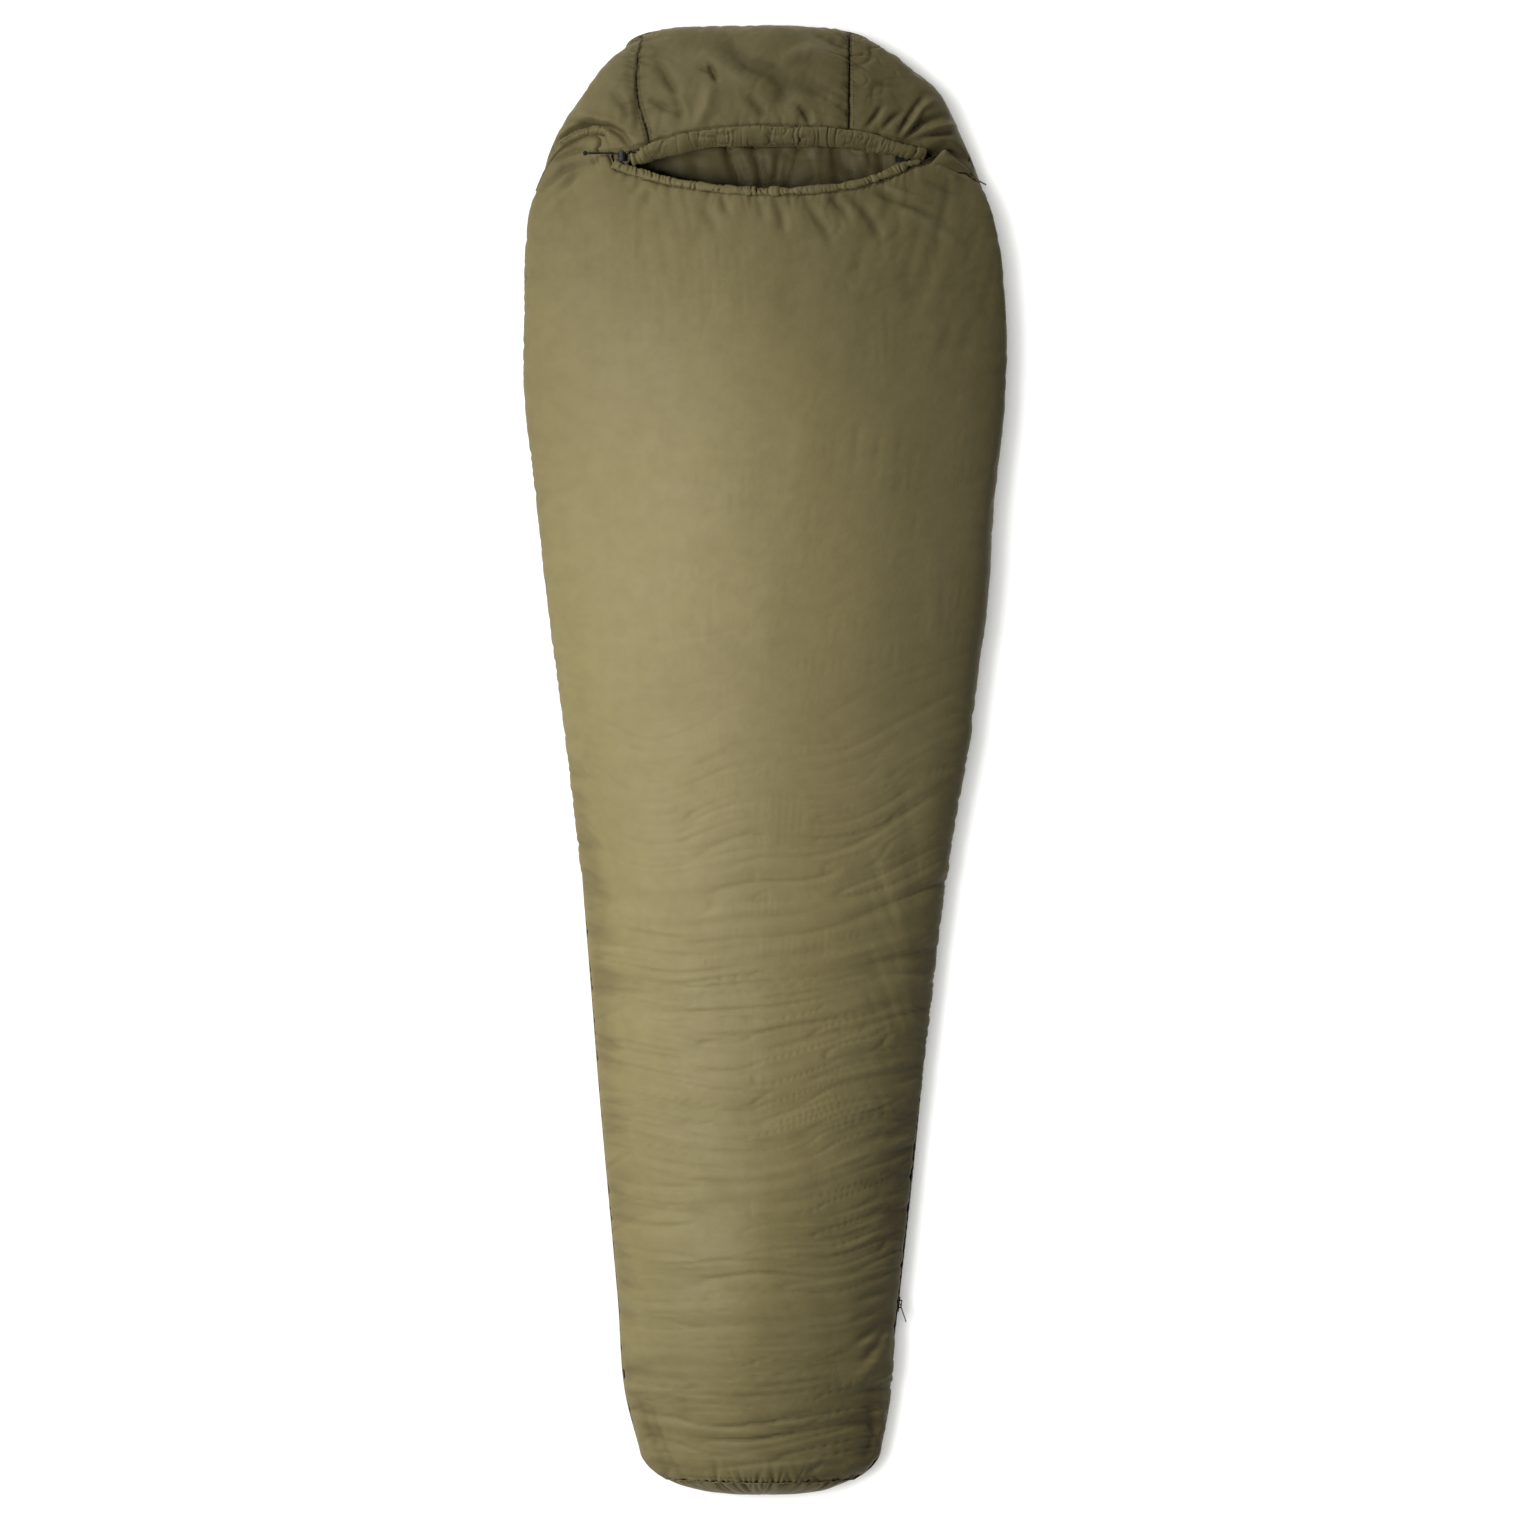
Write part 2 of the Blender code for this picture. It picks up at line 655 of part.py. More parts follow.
def make_cord_lock():
    """Barrel, sprung plunger and spring; the cord crosses them along X, and the button faces +Y."""
    cord_hole = prism(disc(0.0026, 10), -0.02, 0.02, 0)
    bore = prism(disc(0.0046, 16), -0.0105, 0.02, 1)
    casing = combined(prism(disc(LOCK_RADIUS, 16), -0.012, 0.005, 1), [bore, cord_hole], "DIFFERENCE")
    button = prism(disc(0.0058, 16), 0.0092, 0.0115, 1)
    slot = prism(rectangle(-0.0019, 0.0019 + LOCK_TRAVEL, -0.0021, 0.0021), -0.02, 0.02, 0)
    stem = combined(prism(disc(0.0042, 16), -0.0042, 0.0095, 1), [button], "UNION")
    plunger = combined(stem, [slot], "DIFFERENCE")
    for name, mesh in (("cord_lock_barrel", casing), ("cord_lock_plunger", plunger)):
        add_object(name, mesh, *PLASTIC_LOOK).location = LOCK_AT
    turns, steps = 3, 9
    coil = []
    for k in range(turns * steps + 1):
        angle = 2 * math.pi * k / steps
        y = -0.0098 + 0.0048 * k / (turns * steps)
        coil.append((0.0032 * math.cos(angle), y, 0.0032 * math.sin(angle)))
    tube("cord_lock_spring", coil, 0.0004, SPRING_LOOK, 1).location = LOCK_AT


# ---------------------------------------------------------------- zip

def zip_strip(name, low, high, thickness, look, start=ZIP_BOTTOM[1], end=ZIP_TOP[1]):
    """A strip that stands on edge along the zip's arc, from low to high about the seam height."""
    first, last = zip_angle(start), zip_angle(end)
    outer, inner = [], []
    for k in range(ZIP_SEGMENTS + 1):
        angle = first + (last - first) * k / ZIP_SEGMENTS
        for grid, radius in ((outer, ZIP_RADIUS + thickness / 2), (inner, ZIP_RADIUS - thickness / 2)):
            x = ZIP_CENTRE[0] + radius * math.cos(angle)
            y = ZIP_CENTRE[1] + radius * math.sin(angle)
            grid.append([(x, y, SEAM_HEIGHT + low), (x, y, SEAM_HEIGHT + high)])
    wall(name, np.array(outer), np.array(inner), look)


def make_zip_track():
    inner, outer = CHAIN_HALF_GAP, CHAIN_HALF_HEIGHT
    tape = CHAIN_HALF_HEIGHT + 0.0003
    end = ZIP_TOP[1] - 0.004
    zip_strip("zip_tape_upper", tape, TAPE_EDGE, TAPE_THICKNESS, ZIP_LOOK)
    zip_strip("zip_tape_lower", -TAPE_EDGE, -tape, TAPE_THICKNESS, ZIP_LOOK)
    start = ZIP_BOTTOM[1] + 0.006
    zip_strip("zip_chain_upper", inner, outer, CHAIN_THICKNESS, ZIP_LOOK, start, end)
    zip_strip("zip_chain_lower", -outer, -inner, CHAIN_THICKNESS, ZIP_LOOK, start, end)


def on_zip(obj, pivot, offset=0.0):
    """Stands an object on the arc, as a child of the empty at the arc's centre."""
    obj.parent = pivot
    obj.location = (ZIP_RADIUS + offset, 0.0, 0.0)


def zip_pivot(name, y):
    """An empty on the axis that the sliders turn about, facing the place y along the zip."""
    pivot = bpy.data.objects.new(name, None)
    pivot.location = (ZIP_CENTRE[0], ZIP_CENTRE[1], SEAM_HEIGHT)
    pivot.rotation_euler = (0.0, 0.0, zip_angle(y))
    bpy.context.scene.collection.objects.link(pivot)
    return pivot


def make_zip_stops():
    """The bottom box past the foot end of the chain, and the two stops past its head end."""
    box = prism(rectangle(-0.0015, 0.0015, -0.0030, 0.0025), -0.0030, 0.0030, 2)
    bottom = add_object("zip_bottom_stop", box, *METAL_LOOK)
    on_zip(bottom, zip_pivot("zip_bottom_place", ZIP_BOTTOM[1] + 0.003))
    place = zip_pivot("zip_top_place", ZIP_TOP[1] - 0.002)
    for name, low, high in (
        ("zip_top_stop_upper", CHAIN_HALF_GAP, CHAIN_HALF_HEIGHT),
        ("zip_top_stop_lower", -CHAIN_HALF_HEIGHT, -CHAIN_HALF_GAP),
    ):
        block = prism(rectangle(-0.0015, 0.0015, -0.0016, 0.0016), low, high, 2)
        on_zip(add_object(name, block, *METAL_LOOK), place)


def slider_mesh():
    """Two flanged plates joined by a thin divider, with a bridge for a pull on each."""
    half = SLIDER_HALF_LENGTH
    plate_outline = (
        (0.0017, -0.0038), (0.00098, -0.0038), (0.00098, -0.0055), (0.0032, -0.0055),
        (0.0032, 0.0055), (0.00098, 0.0055), (0.00098, 0.0038), (0.0017, 0.0038),
    )
    bridge_outline = (
        (0.0030, -0.0060), (0.0066, -0.0060), (0.0066, 0.0066), (0.0030, 0.0066),
        (0.0030, 0.0050), (0.0052, 0.0050), (0.0052, -0.0044), (0.0030, -0.0044),
    )
    plate = prism(plate_outline, -half, half, 1)
    bridge = prism(bridge_outline, -0.0012, 0.0012, 2)
    divider = prism(rectangle(-0.0020, 0.0020, 0.0040, 0.0095), -0.0003, 0.0003, 2)
    return combined(plate, [divider, mirrored_x(plate), bridge, mirrored_x(bridge)], "UNION")


def pull_mesh():
    """A pull that points along +X from its pin, with a loop round the slider's bridge."""
    blade = prism(rectangle(-0.0007, 0.0280, -0.0031, 0.0031), -0.0007, 0.0007, 1)
    loop = prism(rectangle(0.0007, 0.0085, -0.0020, 0.0020), -0.01, 0.01, 1)
    return combined(blade, [loop], "DIFFERENCE")


def make_slider(prefix, y, outer_angle, inner_angle):
    """A slider and its outer and inner pulls; the angles turn the pulls from square to the zip."""
    pivot = zip_pivot(f"{prefix}_pivot", y)
    on_zip(add_object(f"{prefix}_body", slider_mesh(), *METAL_LOOK), pivot)
    for side, offset, angle in (("outer", 0.0042, outer_angle), ("inner", -0.0042, inner_angle)):
        pull = add_object(f"{prefix}_{side}_pull", pull_mesh(), *METAL_LOOK)
        on_zip(pull, pivot, offset)
        pull.rotation_euler = (0.0, 0.0, math.radians(angle))


def make_draft_tube():
    """The padded roll that hangs inside the upper wall, behind the zip."""
    inner = upper_grid(True)
    column = inner.shape[1] - 2 - LIP_STEPS
    path = []
    for row, y in enumerate(BODY_ROWS):
        if ZIP_BOTTOM[1] < y:
            here, beside = inner[row, column], inner[row, column - 1]
            across = beside - here
            inward = np.array([-abs(across[2]), 0.0, -abs(across[0])])
            inward /= np.linalg.norm(inward)
            path.append(here + inward * (DRAFT_TUBE_RADIUS + 0.002))
    tube("zip_draft_tube", path, DRAFT_TUBE_RADIUS, LINING_LOOK, 2)


def main():
    clear_scene()
    make_body()
    make_zip_garage()
    make_collar()
    make_hood()
    make_rim()
    make_inner_strap()
    make_cord_lock()
    make_zip_track()
    make_zip_stops()
    make_slider("upper_slider", UPPER_SLIDER_Y, -27.0, -100.0)
    make_slider("lower_slider", LOWER_SLIDER_Y, -65.0, -100.0)
    make_draft_tube()


main()
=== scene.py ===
"""Looks of a padded mummy sleeping bag that lies on its back with its side zip closed.

X runs across the bag, +Y towards the head and +Z up from the ground. Each visible piece of cloth is
a fine mesh, laid out on the bag's cross-sections, crumpled by a cloth simulation where it is large
and slack, and then gathered along its seams.
"""

import json
import math

import bpy
import numpy as np
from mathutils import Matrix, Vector

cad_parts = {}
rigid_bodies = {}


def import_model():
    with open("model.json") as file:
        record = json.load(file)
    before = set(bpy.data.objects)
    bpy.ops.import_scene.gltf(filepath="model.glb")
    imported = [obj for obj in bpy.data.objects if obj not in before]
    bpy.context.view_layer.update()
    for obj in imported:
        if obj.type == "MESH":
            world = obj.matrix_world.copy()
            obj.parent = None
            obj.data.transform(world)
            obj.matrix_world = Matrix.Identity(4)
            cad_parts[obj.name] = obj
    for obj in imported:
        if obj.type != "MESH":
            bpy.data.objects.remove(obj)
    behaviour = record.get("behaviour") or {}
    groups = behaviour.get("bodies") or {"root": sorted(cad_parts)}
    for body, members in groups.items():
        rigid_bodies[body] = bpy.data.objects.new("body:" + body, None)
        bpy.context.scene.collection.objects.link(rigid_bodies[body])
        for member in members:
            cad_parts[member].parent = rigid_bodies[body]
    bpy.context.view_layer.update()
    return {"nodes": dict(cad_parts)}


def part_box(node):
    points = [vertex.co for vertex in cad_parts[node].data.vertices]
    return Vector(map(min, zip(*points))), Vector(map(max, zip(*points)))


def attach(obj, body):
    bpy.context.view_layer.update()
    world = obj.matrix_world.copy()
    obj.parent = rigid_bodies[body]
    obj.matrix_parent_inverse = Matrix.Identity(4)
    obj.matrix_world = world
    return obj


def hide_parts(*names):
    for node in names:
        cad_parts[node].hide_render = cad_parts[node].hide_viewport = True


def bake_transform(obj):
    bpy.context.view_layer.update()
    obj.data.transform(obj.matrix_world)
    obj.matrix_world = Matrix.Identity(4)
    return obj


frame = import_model()
NODES = frame["nodes"]

# ---------------------------------------------------------------- sizes of the bag, in metres

HALF_LENGTH = 1.10
SEAM_HEIGHT = 0.048
# Outline seen from above: place along the bag, left edge, right edge
OUTLINE = np.array((
    (-1.035, -0.188, 0.174),
    (-0.960, -0.208, 0.188),
    (-0.810, -0.221, 0.198),
    (-0.510, -0.248, 0.233),
    (-0.210, -0.273, 0.270),
    (0.090, -0.309, 0.315),
    (0.390, -0.346, 0.351),
    (0.540, -0.362, 0.363),
    (0.660, -0.364, 0.362),
    (0.840, -0.347, 0.334),
    (0.915, -0.320, 0.297),
    (0.975, -0.278, 0.266),
    (1.068, -0.209, 0.164),
))
# Height of the top of the bag: place along the bag, height
CREST = np.array((
    (-1.035, 0.124),
    (-0.900, 0.148),
    (-0.500, 0.154),
    (0.000, 0.166),
    (0.500, 0.177),
    (0.750, 0.160),
    (0.880, 0.132),
))
# Head edge of the upper wall: place across the bag, place along it
HEAD_EDGE = np.array((
    (-0.345, 0.850),
    (-0.324, 0.905),
    (-0.306, 0.922),
    (-0.286, 0.935),
    (-0.265, 0.942),
    (-0.250, 0.941),
    (-0.240, 0.931),
    (-0.234, 0.912),
    (-0.228, 0.893),
    (-0.216, 0.884),
    (-0.190, 0.875),
    (-0.165, 0.867),
    (-0.138, 0.860),
    (-0.100, 0.853),
    (-0.060, 0.847),
    (0.000, 0.844),
    (0.050, 0.845),
    (0.100, 0.850),
    (0.143, 0.858),
    (0.184, 0.873),
    (0.205, 0.883),
    (0.225, 0.892),
    (0.242, 0.897),
    (0.256, 0.906),
    (0.269, 0.912),
    (0.285, 0.907),
    (0.301, 0.899),
    (0.318, 0.882),
    (0.334, 0.850),
))
GAP = 0.0004
UPPER_LOFT = 0.052
BASE_LOFT = 0.044
SIDE_LOFT = 0.014
EDGE_LOFT = 0.030
HEM_LOFT = 0.022
FLOOR_INSET = 0.055
LEFT_OVERHANG = 0.020
FOOT_BEND = -1.035
FOOT_PANEL_Y = -1.0785
FOOT_CENTRE = (-0.007, 0.055)
NECK_Y = 0.915
HEM_Y = 0.845
HOOD_CORNER_Y = 1.068
HOOD_RIM_BULGE = 0.0235
HOOD_HEIGHT = 0.085
HOOD_LOFT = 0.036
HOOD_INSET = 0.027
HOOD_BACK_LOFT = 0.043
# How far the hood's side panels run on under the shoulders
HOOD_TUCK = 0.069
# Place across the bag of the two seams of the hood, at the rim and at the head end
HOOD_SEAM_LEFT = (-0.1730, -0.1876)
HOOD_SEAM_RIGHT = (0.1265, 0.1285)
RIM_ENDS = (-0.199, 0.238)
COLLAR_RADIUS = 0.0062
COLLAR_ENDS = (-0.226, 0.236)
CORD_RADIUS = 0.0015
TAIL_END = -0.264
LOCK_AT = (-0.213, 0.905, 0.104)
ZIP_TOP = (0.303, 0.892)
ZIP_BOTTOM = (0.188, -0.905)
ZIP_SAGITTA = 0.026
ZIP_SLOT = 0.0093
# The front edge of the hood's panels: place across the bag, place along it
HOOD_FRONT = np.array((
    (-0.360, 0.845),
    (-0.340, 0.850),
    (-0.325, 0.864),
    (-0.300, 0.880),
    (-0.270, 0.893),
    (-0.250, 0.901),
    (-0.235, 0.904),
    (-0.215, 0.905),
    (-0.195, 0.909),
    (-0.165, 0.9185),
    (-0.130, 0.9275),
    (-0.098, 0.9335),
    (-0.023, 0.9395),
    (0.050, 0.9390),
    (0.128, 0.9345),
    (0.180, 0.9250),
    (0.203, 0.9190),
    (0.225, 0.9140),
    (0.250, 0.9050),
    (0.275, 0.8920),
    (0.300, 0.8780),
    (0.330, 0.8580),
    (0.360, 0.8450),
))
# The middle of the rim tunnel: place across the bag, place along it
RIM_LINE = np.array((
    (-0.215, 0.893),
    (-0.195, 0.896),
    (-0.165, 0.907),
    (-0.130, 0.916),
    (-0.098, 0.9225),
    (-0.023, 0.9290),
    (0.050, 0.9285),
    (0.128, 0.9240),
    (0.180, 0.9145),
    (0.203, 0.9090),
    (0.225, 0.9050),
    (0.248, 0.9050),
))
# The seam tape on the left shoulder: place across the bag, place along it
BAND_LINE = np.array((
    (-0.320, 0.909),
    (-0.306, 0.922),
    (-0.286, 0.935),
    (-0.265, 0.942),
    (-0.245, 0.943),
    (-0.230, 0.936),
    (-0.215, 0.921),
    (-0.203, 0.906),
))
SKIN = 0.0012
THIN_SKIN = 0.0008
THREAD_LIFT = 0.0003
# The two rows of stitches on the seam tape are this far from its middle, and above it
BAND_STITCH = 0.0034
# The short upright row of stitches on the left shoulder
TACK_ENDS = ((-0.2536, 0.914), (-0.2506, 0.891))
# The zip's tapes: their heights from the chain's middle, and their distance outside it
TAPE_REACH = (0.0006, 0.0122)
TAPE_OFFSET = 0.0006

BODY_ROWS = 300
HEAD_ROWS = 26
BODY_COLUMNS = 132
HEAD_START = 0.78


# ---------------------------------------------------------------- camera, light and floor

VIEW_CENTRE = (-0.0075, 0.0)
VIEW_WIDTH = 2.281
CAMERA_HEIGHT = 9.0
SENSOR = 36.0
FLOOR_HALF = 14.0
LAMP_AIM = (-0.18, -0.16, 0.10)

# The key and the slanting light shade the bag alone, and two high lamps whiten the floor alone
BAG_LIGHT = bpy.data.collections.new("bag_light")
FLOOR_LIGHT = bpy.data.collections.new("floor_light")


def make_stage():
    data = bpy.data.cameras.new("camera")
    camera = bpy.data.objects.new("camera", data)
    data.sensor_width = SENSOR
    data.lens = SENSOR * (CAMERA_HEIGHT - SEAM_HEIGHT) / VIEW_WIDTH
    camera.location = (*VIEW_CENTRE, CAMERA_HEIGHT)
    bpy.context.scene.collection.objects.link(camera)
    bpy.context.scene.camera = camera

    mesh = bpy.data.meshes.new("floor")
    corners = [(-FLOOR_HALF, -FLOOR_HALF, 0), (FLOOR_HALF, -FLOOR_HALF, 0)]
    corners += [(FLOOR_HALF, FLOOR_HALF, 0), (-FLOOR_HALF, FLOOR_HALF, 0)]
    mesh.from_pydata(corners, [], [(0, 1, 2, 3)])
    floor = bpy.data.objects.new("floor", mesh)
    bpy.context.scene.collection.objects.link(floor)
    paint = bpy.data.materials.new("floor")
    paint.use_nodes = True
    shader = paint.node_tree.nodes["Principled BSDF"]
    shader.inputs["Base Color"].default_value = (0.93, 0.93, 0.92, 1.0)
    shader.inputs["Roughness"].default_value = 0.9
    shader.inputs["Specular IOR Level"].default_value = 0.0
    mesh.materials.append(paint)

    world = bpy.data.worlds.new("studio")
    bpy.context.scene.world = world
    world.use_nodes = True
    air = world.node_tree.nodes["Background"]
    air.inputs["Color"].default_value = (1.0, 0.99, 0.97, 1.0)
    air.inputs["Strength"].default_value = 0.02
    for name, place, size, power, lit in (
        ("key", (-0.80, -0.12, 1.20), (2.00, 0.50), 9.6, BAG_LIGHT),
        ("floor_side", (-5.0, 0.5, 11.0), (5.0, 5.0), 1050.0, FLOOR_LIGHT),
        ("floor_top", (-0.5, 0.0, 12.0), (9.0, 9.0), 1500.0, FLOOR_LIGHT),
    ):
        light = bpy.data.lights.new(name, "AREA")
        light.shape = "RECTANGLE"
        light.size, light.size_y = size
        light.energy = power
        light.spread = math.radians(74 if lit is BAG_LIGHT else 180)
        lamp = bpy.data.objects.new(name, light)
        lamp.location = place
        aim = Vector(LAMP_AIM) - Vector(place)
        lamp.rotation_euler = aim.to_track_quat("-Z", "Y").to_euler()
        bpy.context.scene.collection.objects.link(lamp)
        lamp.light_linking.receiver_collection = lit
    FLOOR_LIGHT.objects.link(floor)
    # A weaker slanting light from the head's left side draws out the wrinkles that run across
    light = bpy.data.lights.new("slant", "SUN")
    light.energy = 1.6
    light.angle = math.radians(14)
    lamp = bpy.data.objects.new("slant", light)
    lamp.rotation_euler = Vector((0.60, -0.60, -0.60)).to_track_quat("-Z", "Y").to_euler()
    bpy.context.scene.collection.objects.link(lamp)
    lamp.light_linking.receiver_collection = BAG_LIGHT
    bpy.context.scene.view_settings.view_transform = "Standard"


# ---------------------------------------------------------------- curves, noise and folds

def smooth(t):
    t = np.clip(t, 0.0, 1.0)
    return t * t * (3.0 - 2.0 * t)


def fade_ends(count, steps):
    """1 along a row of points, falling to 0 over the steps at each end."""
    place = np.arange(count)
    return smooth(place / steps) * smooth(place[::-1] / steps)


def follow(rows, y, column=1):
    """The value at y on a smooth line through rows of (y, value, ...)."""
    ys, values = rows[:, 0], rows[:, column]
    slopes = np.gradient(values, ys)
    y = np.clip(y, ys[0], ys[-1])
    k = np.clip(np.searchsorted(ys, y) - 1, 0, len(ys) - 2)
    step = ys[k + 1] - ys[k]
    t = (y - ys[k]) / step
    start = values[k] * (1 + 2 * t) * (1 - t) ** 2 + slopes[k] * step * t * (1 - t) ** 2
    return start + values[k + 1] * t * t * (3 - 2 * t) + slopes[k + 1] * step * t * t * (t - 1)


def distances(points):
    """How far along a run of points each one is."""
    return np.concatenate([[0], np.cumsum(np.linalg.norm(np.diff(points, axis=0), axis=1))])


LATTICE = np.random.RandomState(11).uniform(-1, 1, (32, 32, 32))


def noise(points, size, seed=0):
    """Smooth noise from -1 to 1 whose bumps are about size across."""
    place = np.asarray(points) / np.asarray(size) + seed * 5.37
    base = np.floor(place).astype(int)
    part = place - base
    part = part * part * (3 - 2 * part)
    total = np.zeros(place.shape[:-1])
    for dx in (0, 1):
        for dy in (0, 1):
            for dz in (0, 1):
                corner = (base + (dx, dy, dz)) & 31
                weight = np.ones(place.shape[:-1])
                for axis, step in enumerate((dx, dy, dz)):
                    weight = weight * (part[..., axis] if step else 1 - part[..., axis])
                total += weight * LATTICE[corner[..., 0], corner[..., 1], corner[..., 2]]
    return total


def tucks(along, away, pitch, width, reach, seed, slant=0.5):
    """How deep the creases are that run away from a seam, from 0 to 1."""
    draws = np.random.RandomState(seed).uniform(0, 1, (4096, 4))
    phase = along / pitch
    depth = np.zeros(np.broadcast(along, away).shape)
    near = np.floor(phase).astype(int)
    for step in (-1, 0, 1, 2):
        k = near + step
        draw = draws[k % 4096]
        middle = k + 0.7 * (draw[..., 0] - 0.5) + (draw[..., 1] - 0.5) * 2 * slant * away / pitch
        size = width * (0.6 + 0.8 * draw[..., 2])
        length = reach * (0.25 + 1.3 * draw[..., 3] ** 2)
        spread = size * (1 + 0.8 * away / reach)
        crease = np.exp(-((phase - middle) * pitch / spread) ** 2) * np.exp(-((away / length) ** 1.3))
        depth = np.maximum(depth, crease * (0.35 + 0.65 * draw[..., 2]))
    return depth


def normals_of(grid, closed=False):
    if closed:
        across = np.roll(grid, -1, 1) - np.roll(grid, 1, 1)
    else:
        across = np.gradient(grid, axis=1)
    out = np.cross(across, np.gradient(grid, axis=0))
    return out / np.maximum(np.linalg.norm(out, axis=2, keepdims=True), 1e-9)


def line_distance(grid, path):
    """Distance on the level plane from each point to a path, and how far along it that is, 0 to 1."""
    path = np.array(path, float)
    steps = np.diff(path, axis=0)
    lengths = np.linalg.norm(steps, axis=1)
    starts = np.concatenate([[0], np.cumsum(lengths)])[:-1]
    best, place = np.full(grid.shape[:2], 1e9), np.zeros(grid.shape[:2])
    for start, step, length, before in zip(path[:-1], steps, lengths, starts):
        offset = grid[..., :2] - start
        t = np.clip((offset @ step) / length**2, 0, 1)
        distance = np.linalg.norm(offset - t[..., None] * step, axis=2)
        closer = distance < best
        best = np.where(closer, distance, best)
        place = np.where(closer, (before + t * length) / lengths.sum(), place)
    return best, place


def fold(grid, path, width, depth):
    """Height of one fold along a path; a negative depth is a valley. It fades at both ends."""
    distance, place = line_distance(grid, path)
    ends = np.sqrt(np.clip(np.sin(np.clip(place, 0.02, 0.98) * math.pi), 0, 1))
    return depth * np.exp(-((distance / width) ** 2)) * ends


def crumples(grid, size, depth, seed):
    """Sharp little valleys in every direction, in patches, as crushed nylon keeps them."""
    height = np.zeros(grid.shape[:2])
    for step, share in ((1.0, 1.0), (0.5, 0.6)):
        here = (1.3 * size * step, 0.8 * size * step, 1.5 * size * step)
        valley = np.clip(1 - abs(noise(grid, here, seed + 3 * step)) / 0.22, 0, 1) ** 1.3
        height -= share * depth * valley * smooth(0.4 + 1.3 * noise(grid, 2.2 * size, seed + 7))
    return height


def finer(grid):
    """Twice the points each way, on smooth curves through the old ones."""
    for axis in (0, 1):
        grid = np.moveaxis(grid, axis, 0)
        padded = np.concatenate([2 * grid[:1] - grid[1:2], grid, 2 * grid[-1:] - grid[-2:-1]])
        middle = (9 * (padded[1:-2] + padded[2:-1]) - padded[:-3] - padded[3:]) / 16
        made = np.zeros((2 * len(grid) - 1, *grid.shape[1:]))
        made[::2], made[1::2] = grid, middle
        grid = np.moveaxis(made, 0, axis)
    return grid


# ---------------------------------------------------------------- cloth simulation

def settle(grid, rest, hold, frames, pressure, cap):
    """The grid after its cloth, cut to the size of the rest grid, has crumpled into its place.

    hold is 1 where the cloth is sewn down and small where the filling behind it only guides it.
    """
    rows, columns = grid.shape[:2]
    index = np.arange(rows * columns).reshape(rows, columns)
    faces = np.stack([index[:-1, :-1], index[:-1, 1:], index[1:, 1:], index[1:, :-1]], -1).reshape(-1, 4)
    mesh = bpy.data.meshes.new("slack_cloth")
    mesh.from_pydata(grid.reshape(-1, 3).tolist(), [], faces.tolist())
    obj = bpy.data.objects.new("slack_cloth", mesh)
    bpy.context.scene.collection.objects.link(obj)
    group = obj.vertex_groups.new(name="hold")
    levels = np.round(np.clip(hold, 0, 1) * 100).astype(int).ravel()
    for level in np.unique(levels):
        group.add(np.nonzero(levels == level)[0].tolist(), float(level) / 100, "REPLACE")
    obj.shape_key_add(name="placed")
    key = obj.shape_key_add(name="cut")
    key.data.foreach_set("co", rest.astype(np.float32).ravel())
    cloth = obj.modifiers.new("cloth", "CLOTH")
    settings = cloth.settings
    settings.quality = 5
    settings.mass = 0.12
    settings.tension_stiffness = settings.compression_stiffness = 25.0
    settings.shear_stiffness = 6.0
    settings.bending_stiffness = 0.08
    settings.air_damping = 4.0
    settings.vertex_group_mass = "hold"
    settings.pin_stiffness = 1.0
    settings.rest_shape_key = key
    settings.use_pressure = True
    settings.uniform_pressure_force = pressure
    settings.effector_weights.gravity = 0.0
    cloth.point_cache.frame_start = 1
    cloth.point_cache.frame_end = frames
    scene = bpy.context.scene
    for number in range(1, frames + 1):
        scene.frame_set(number)
    graph = bpy.context.evaluated_depsgraph_get()
    done = obj.evaluated_get(graph).to_mesh()
    found = np.zeros(rows * columns * 3, np.float32)
    done.vertices.foreach_get("co", found)
    scene.frame_set(1)
    bpy.data.objects.remove(obj)
    move = found.reshape(grid.shape).astype(float) - grid
    size = np.linalg.norm(move, axis=2, keepdims=True)
    return grid + move * (cap * np.tanh(size / cap) / np.maximum(size, 1e-9))


# ---------------------------------------------------------------- meshes

def strip(fine, coarse, turned):
    """Faces between a fine edge and an edge of half as many steps."""
    faces = []
    for k in range(len(coarse) - 1):
        a, b, c = fine[2 * k], fine[2 * k + 1], fine[2 * k + 2]
        d, e = coarse[k], coarse[k + 1]
        for face in ((a, b, d), (b, e, d), (b, c, e)):
            faces.append(face[::-1] if turned else face)
    return faces


def link(name, mesh, look):
    mesh.polygons.foreach_set("use_smooth", np.ones(len(mesh.polygons), bool))
    mesh.update()
    obj = bpy.data.objects.new(name, mesh)
    bpy.context.scene.collection.objects.link(obj)
    mesh.materials.append(look)
    return obj


def mesh_of(points, faces):
    mesh = bpy.data.meshes.new("cloth")
    mesh.from_pydata(np.asarray(points).reshape(-1, 3).tolist(), [], faces)
    mesh.validate()
    return mesh


def quads(index, closed=False, turned=False):
    if closed:
        index = np.concatenate([index, index[:, :1]], 1)
    found = np.stack([index[:-1, :-1], index[:-1, 1:], index[1:, 1:], index[1:, :-1]], -1).reshape(-1, 4)
    return (found[:, ::-1] if turned else found).tolist()


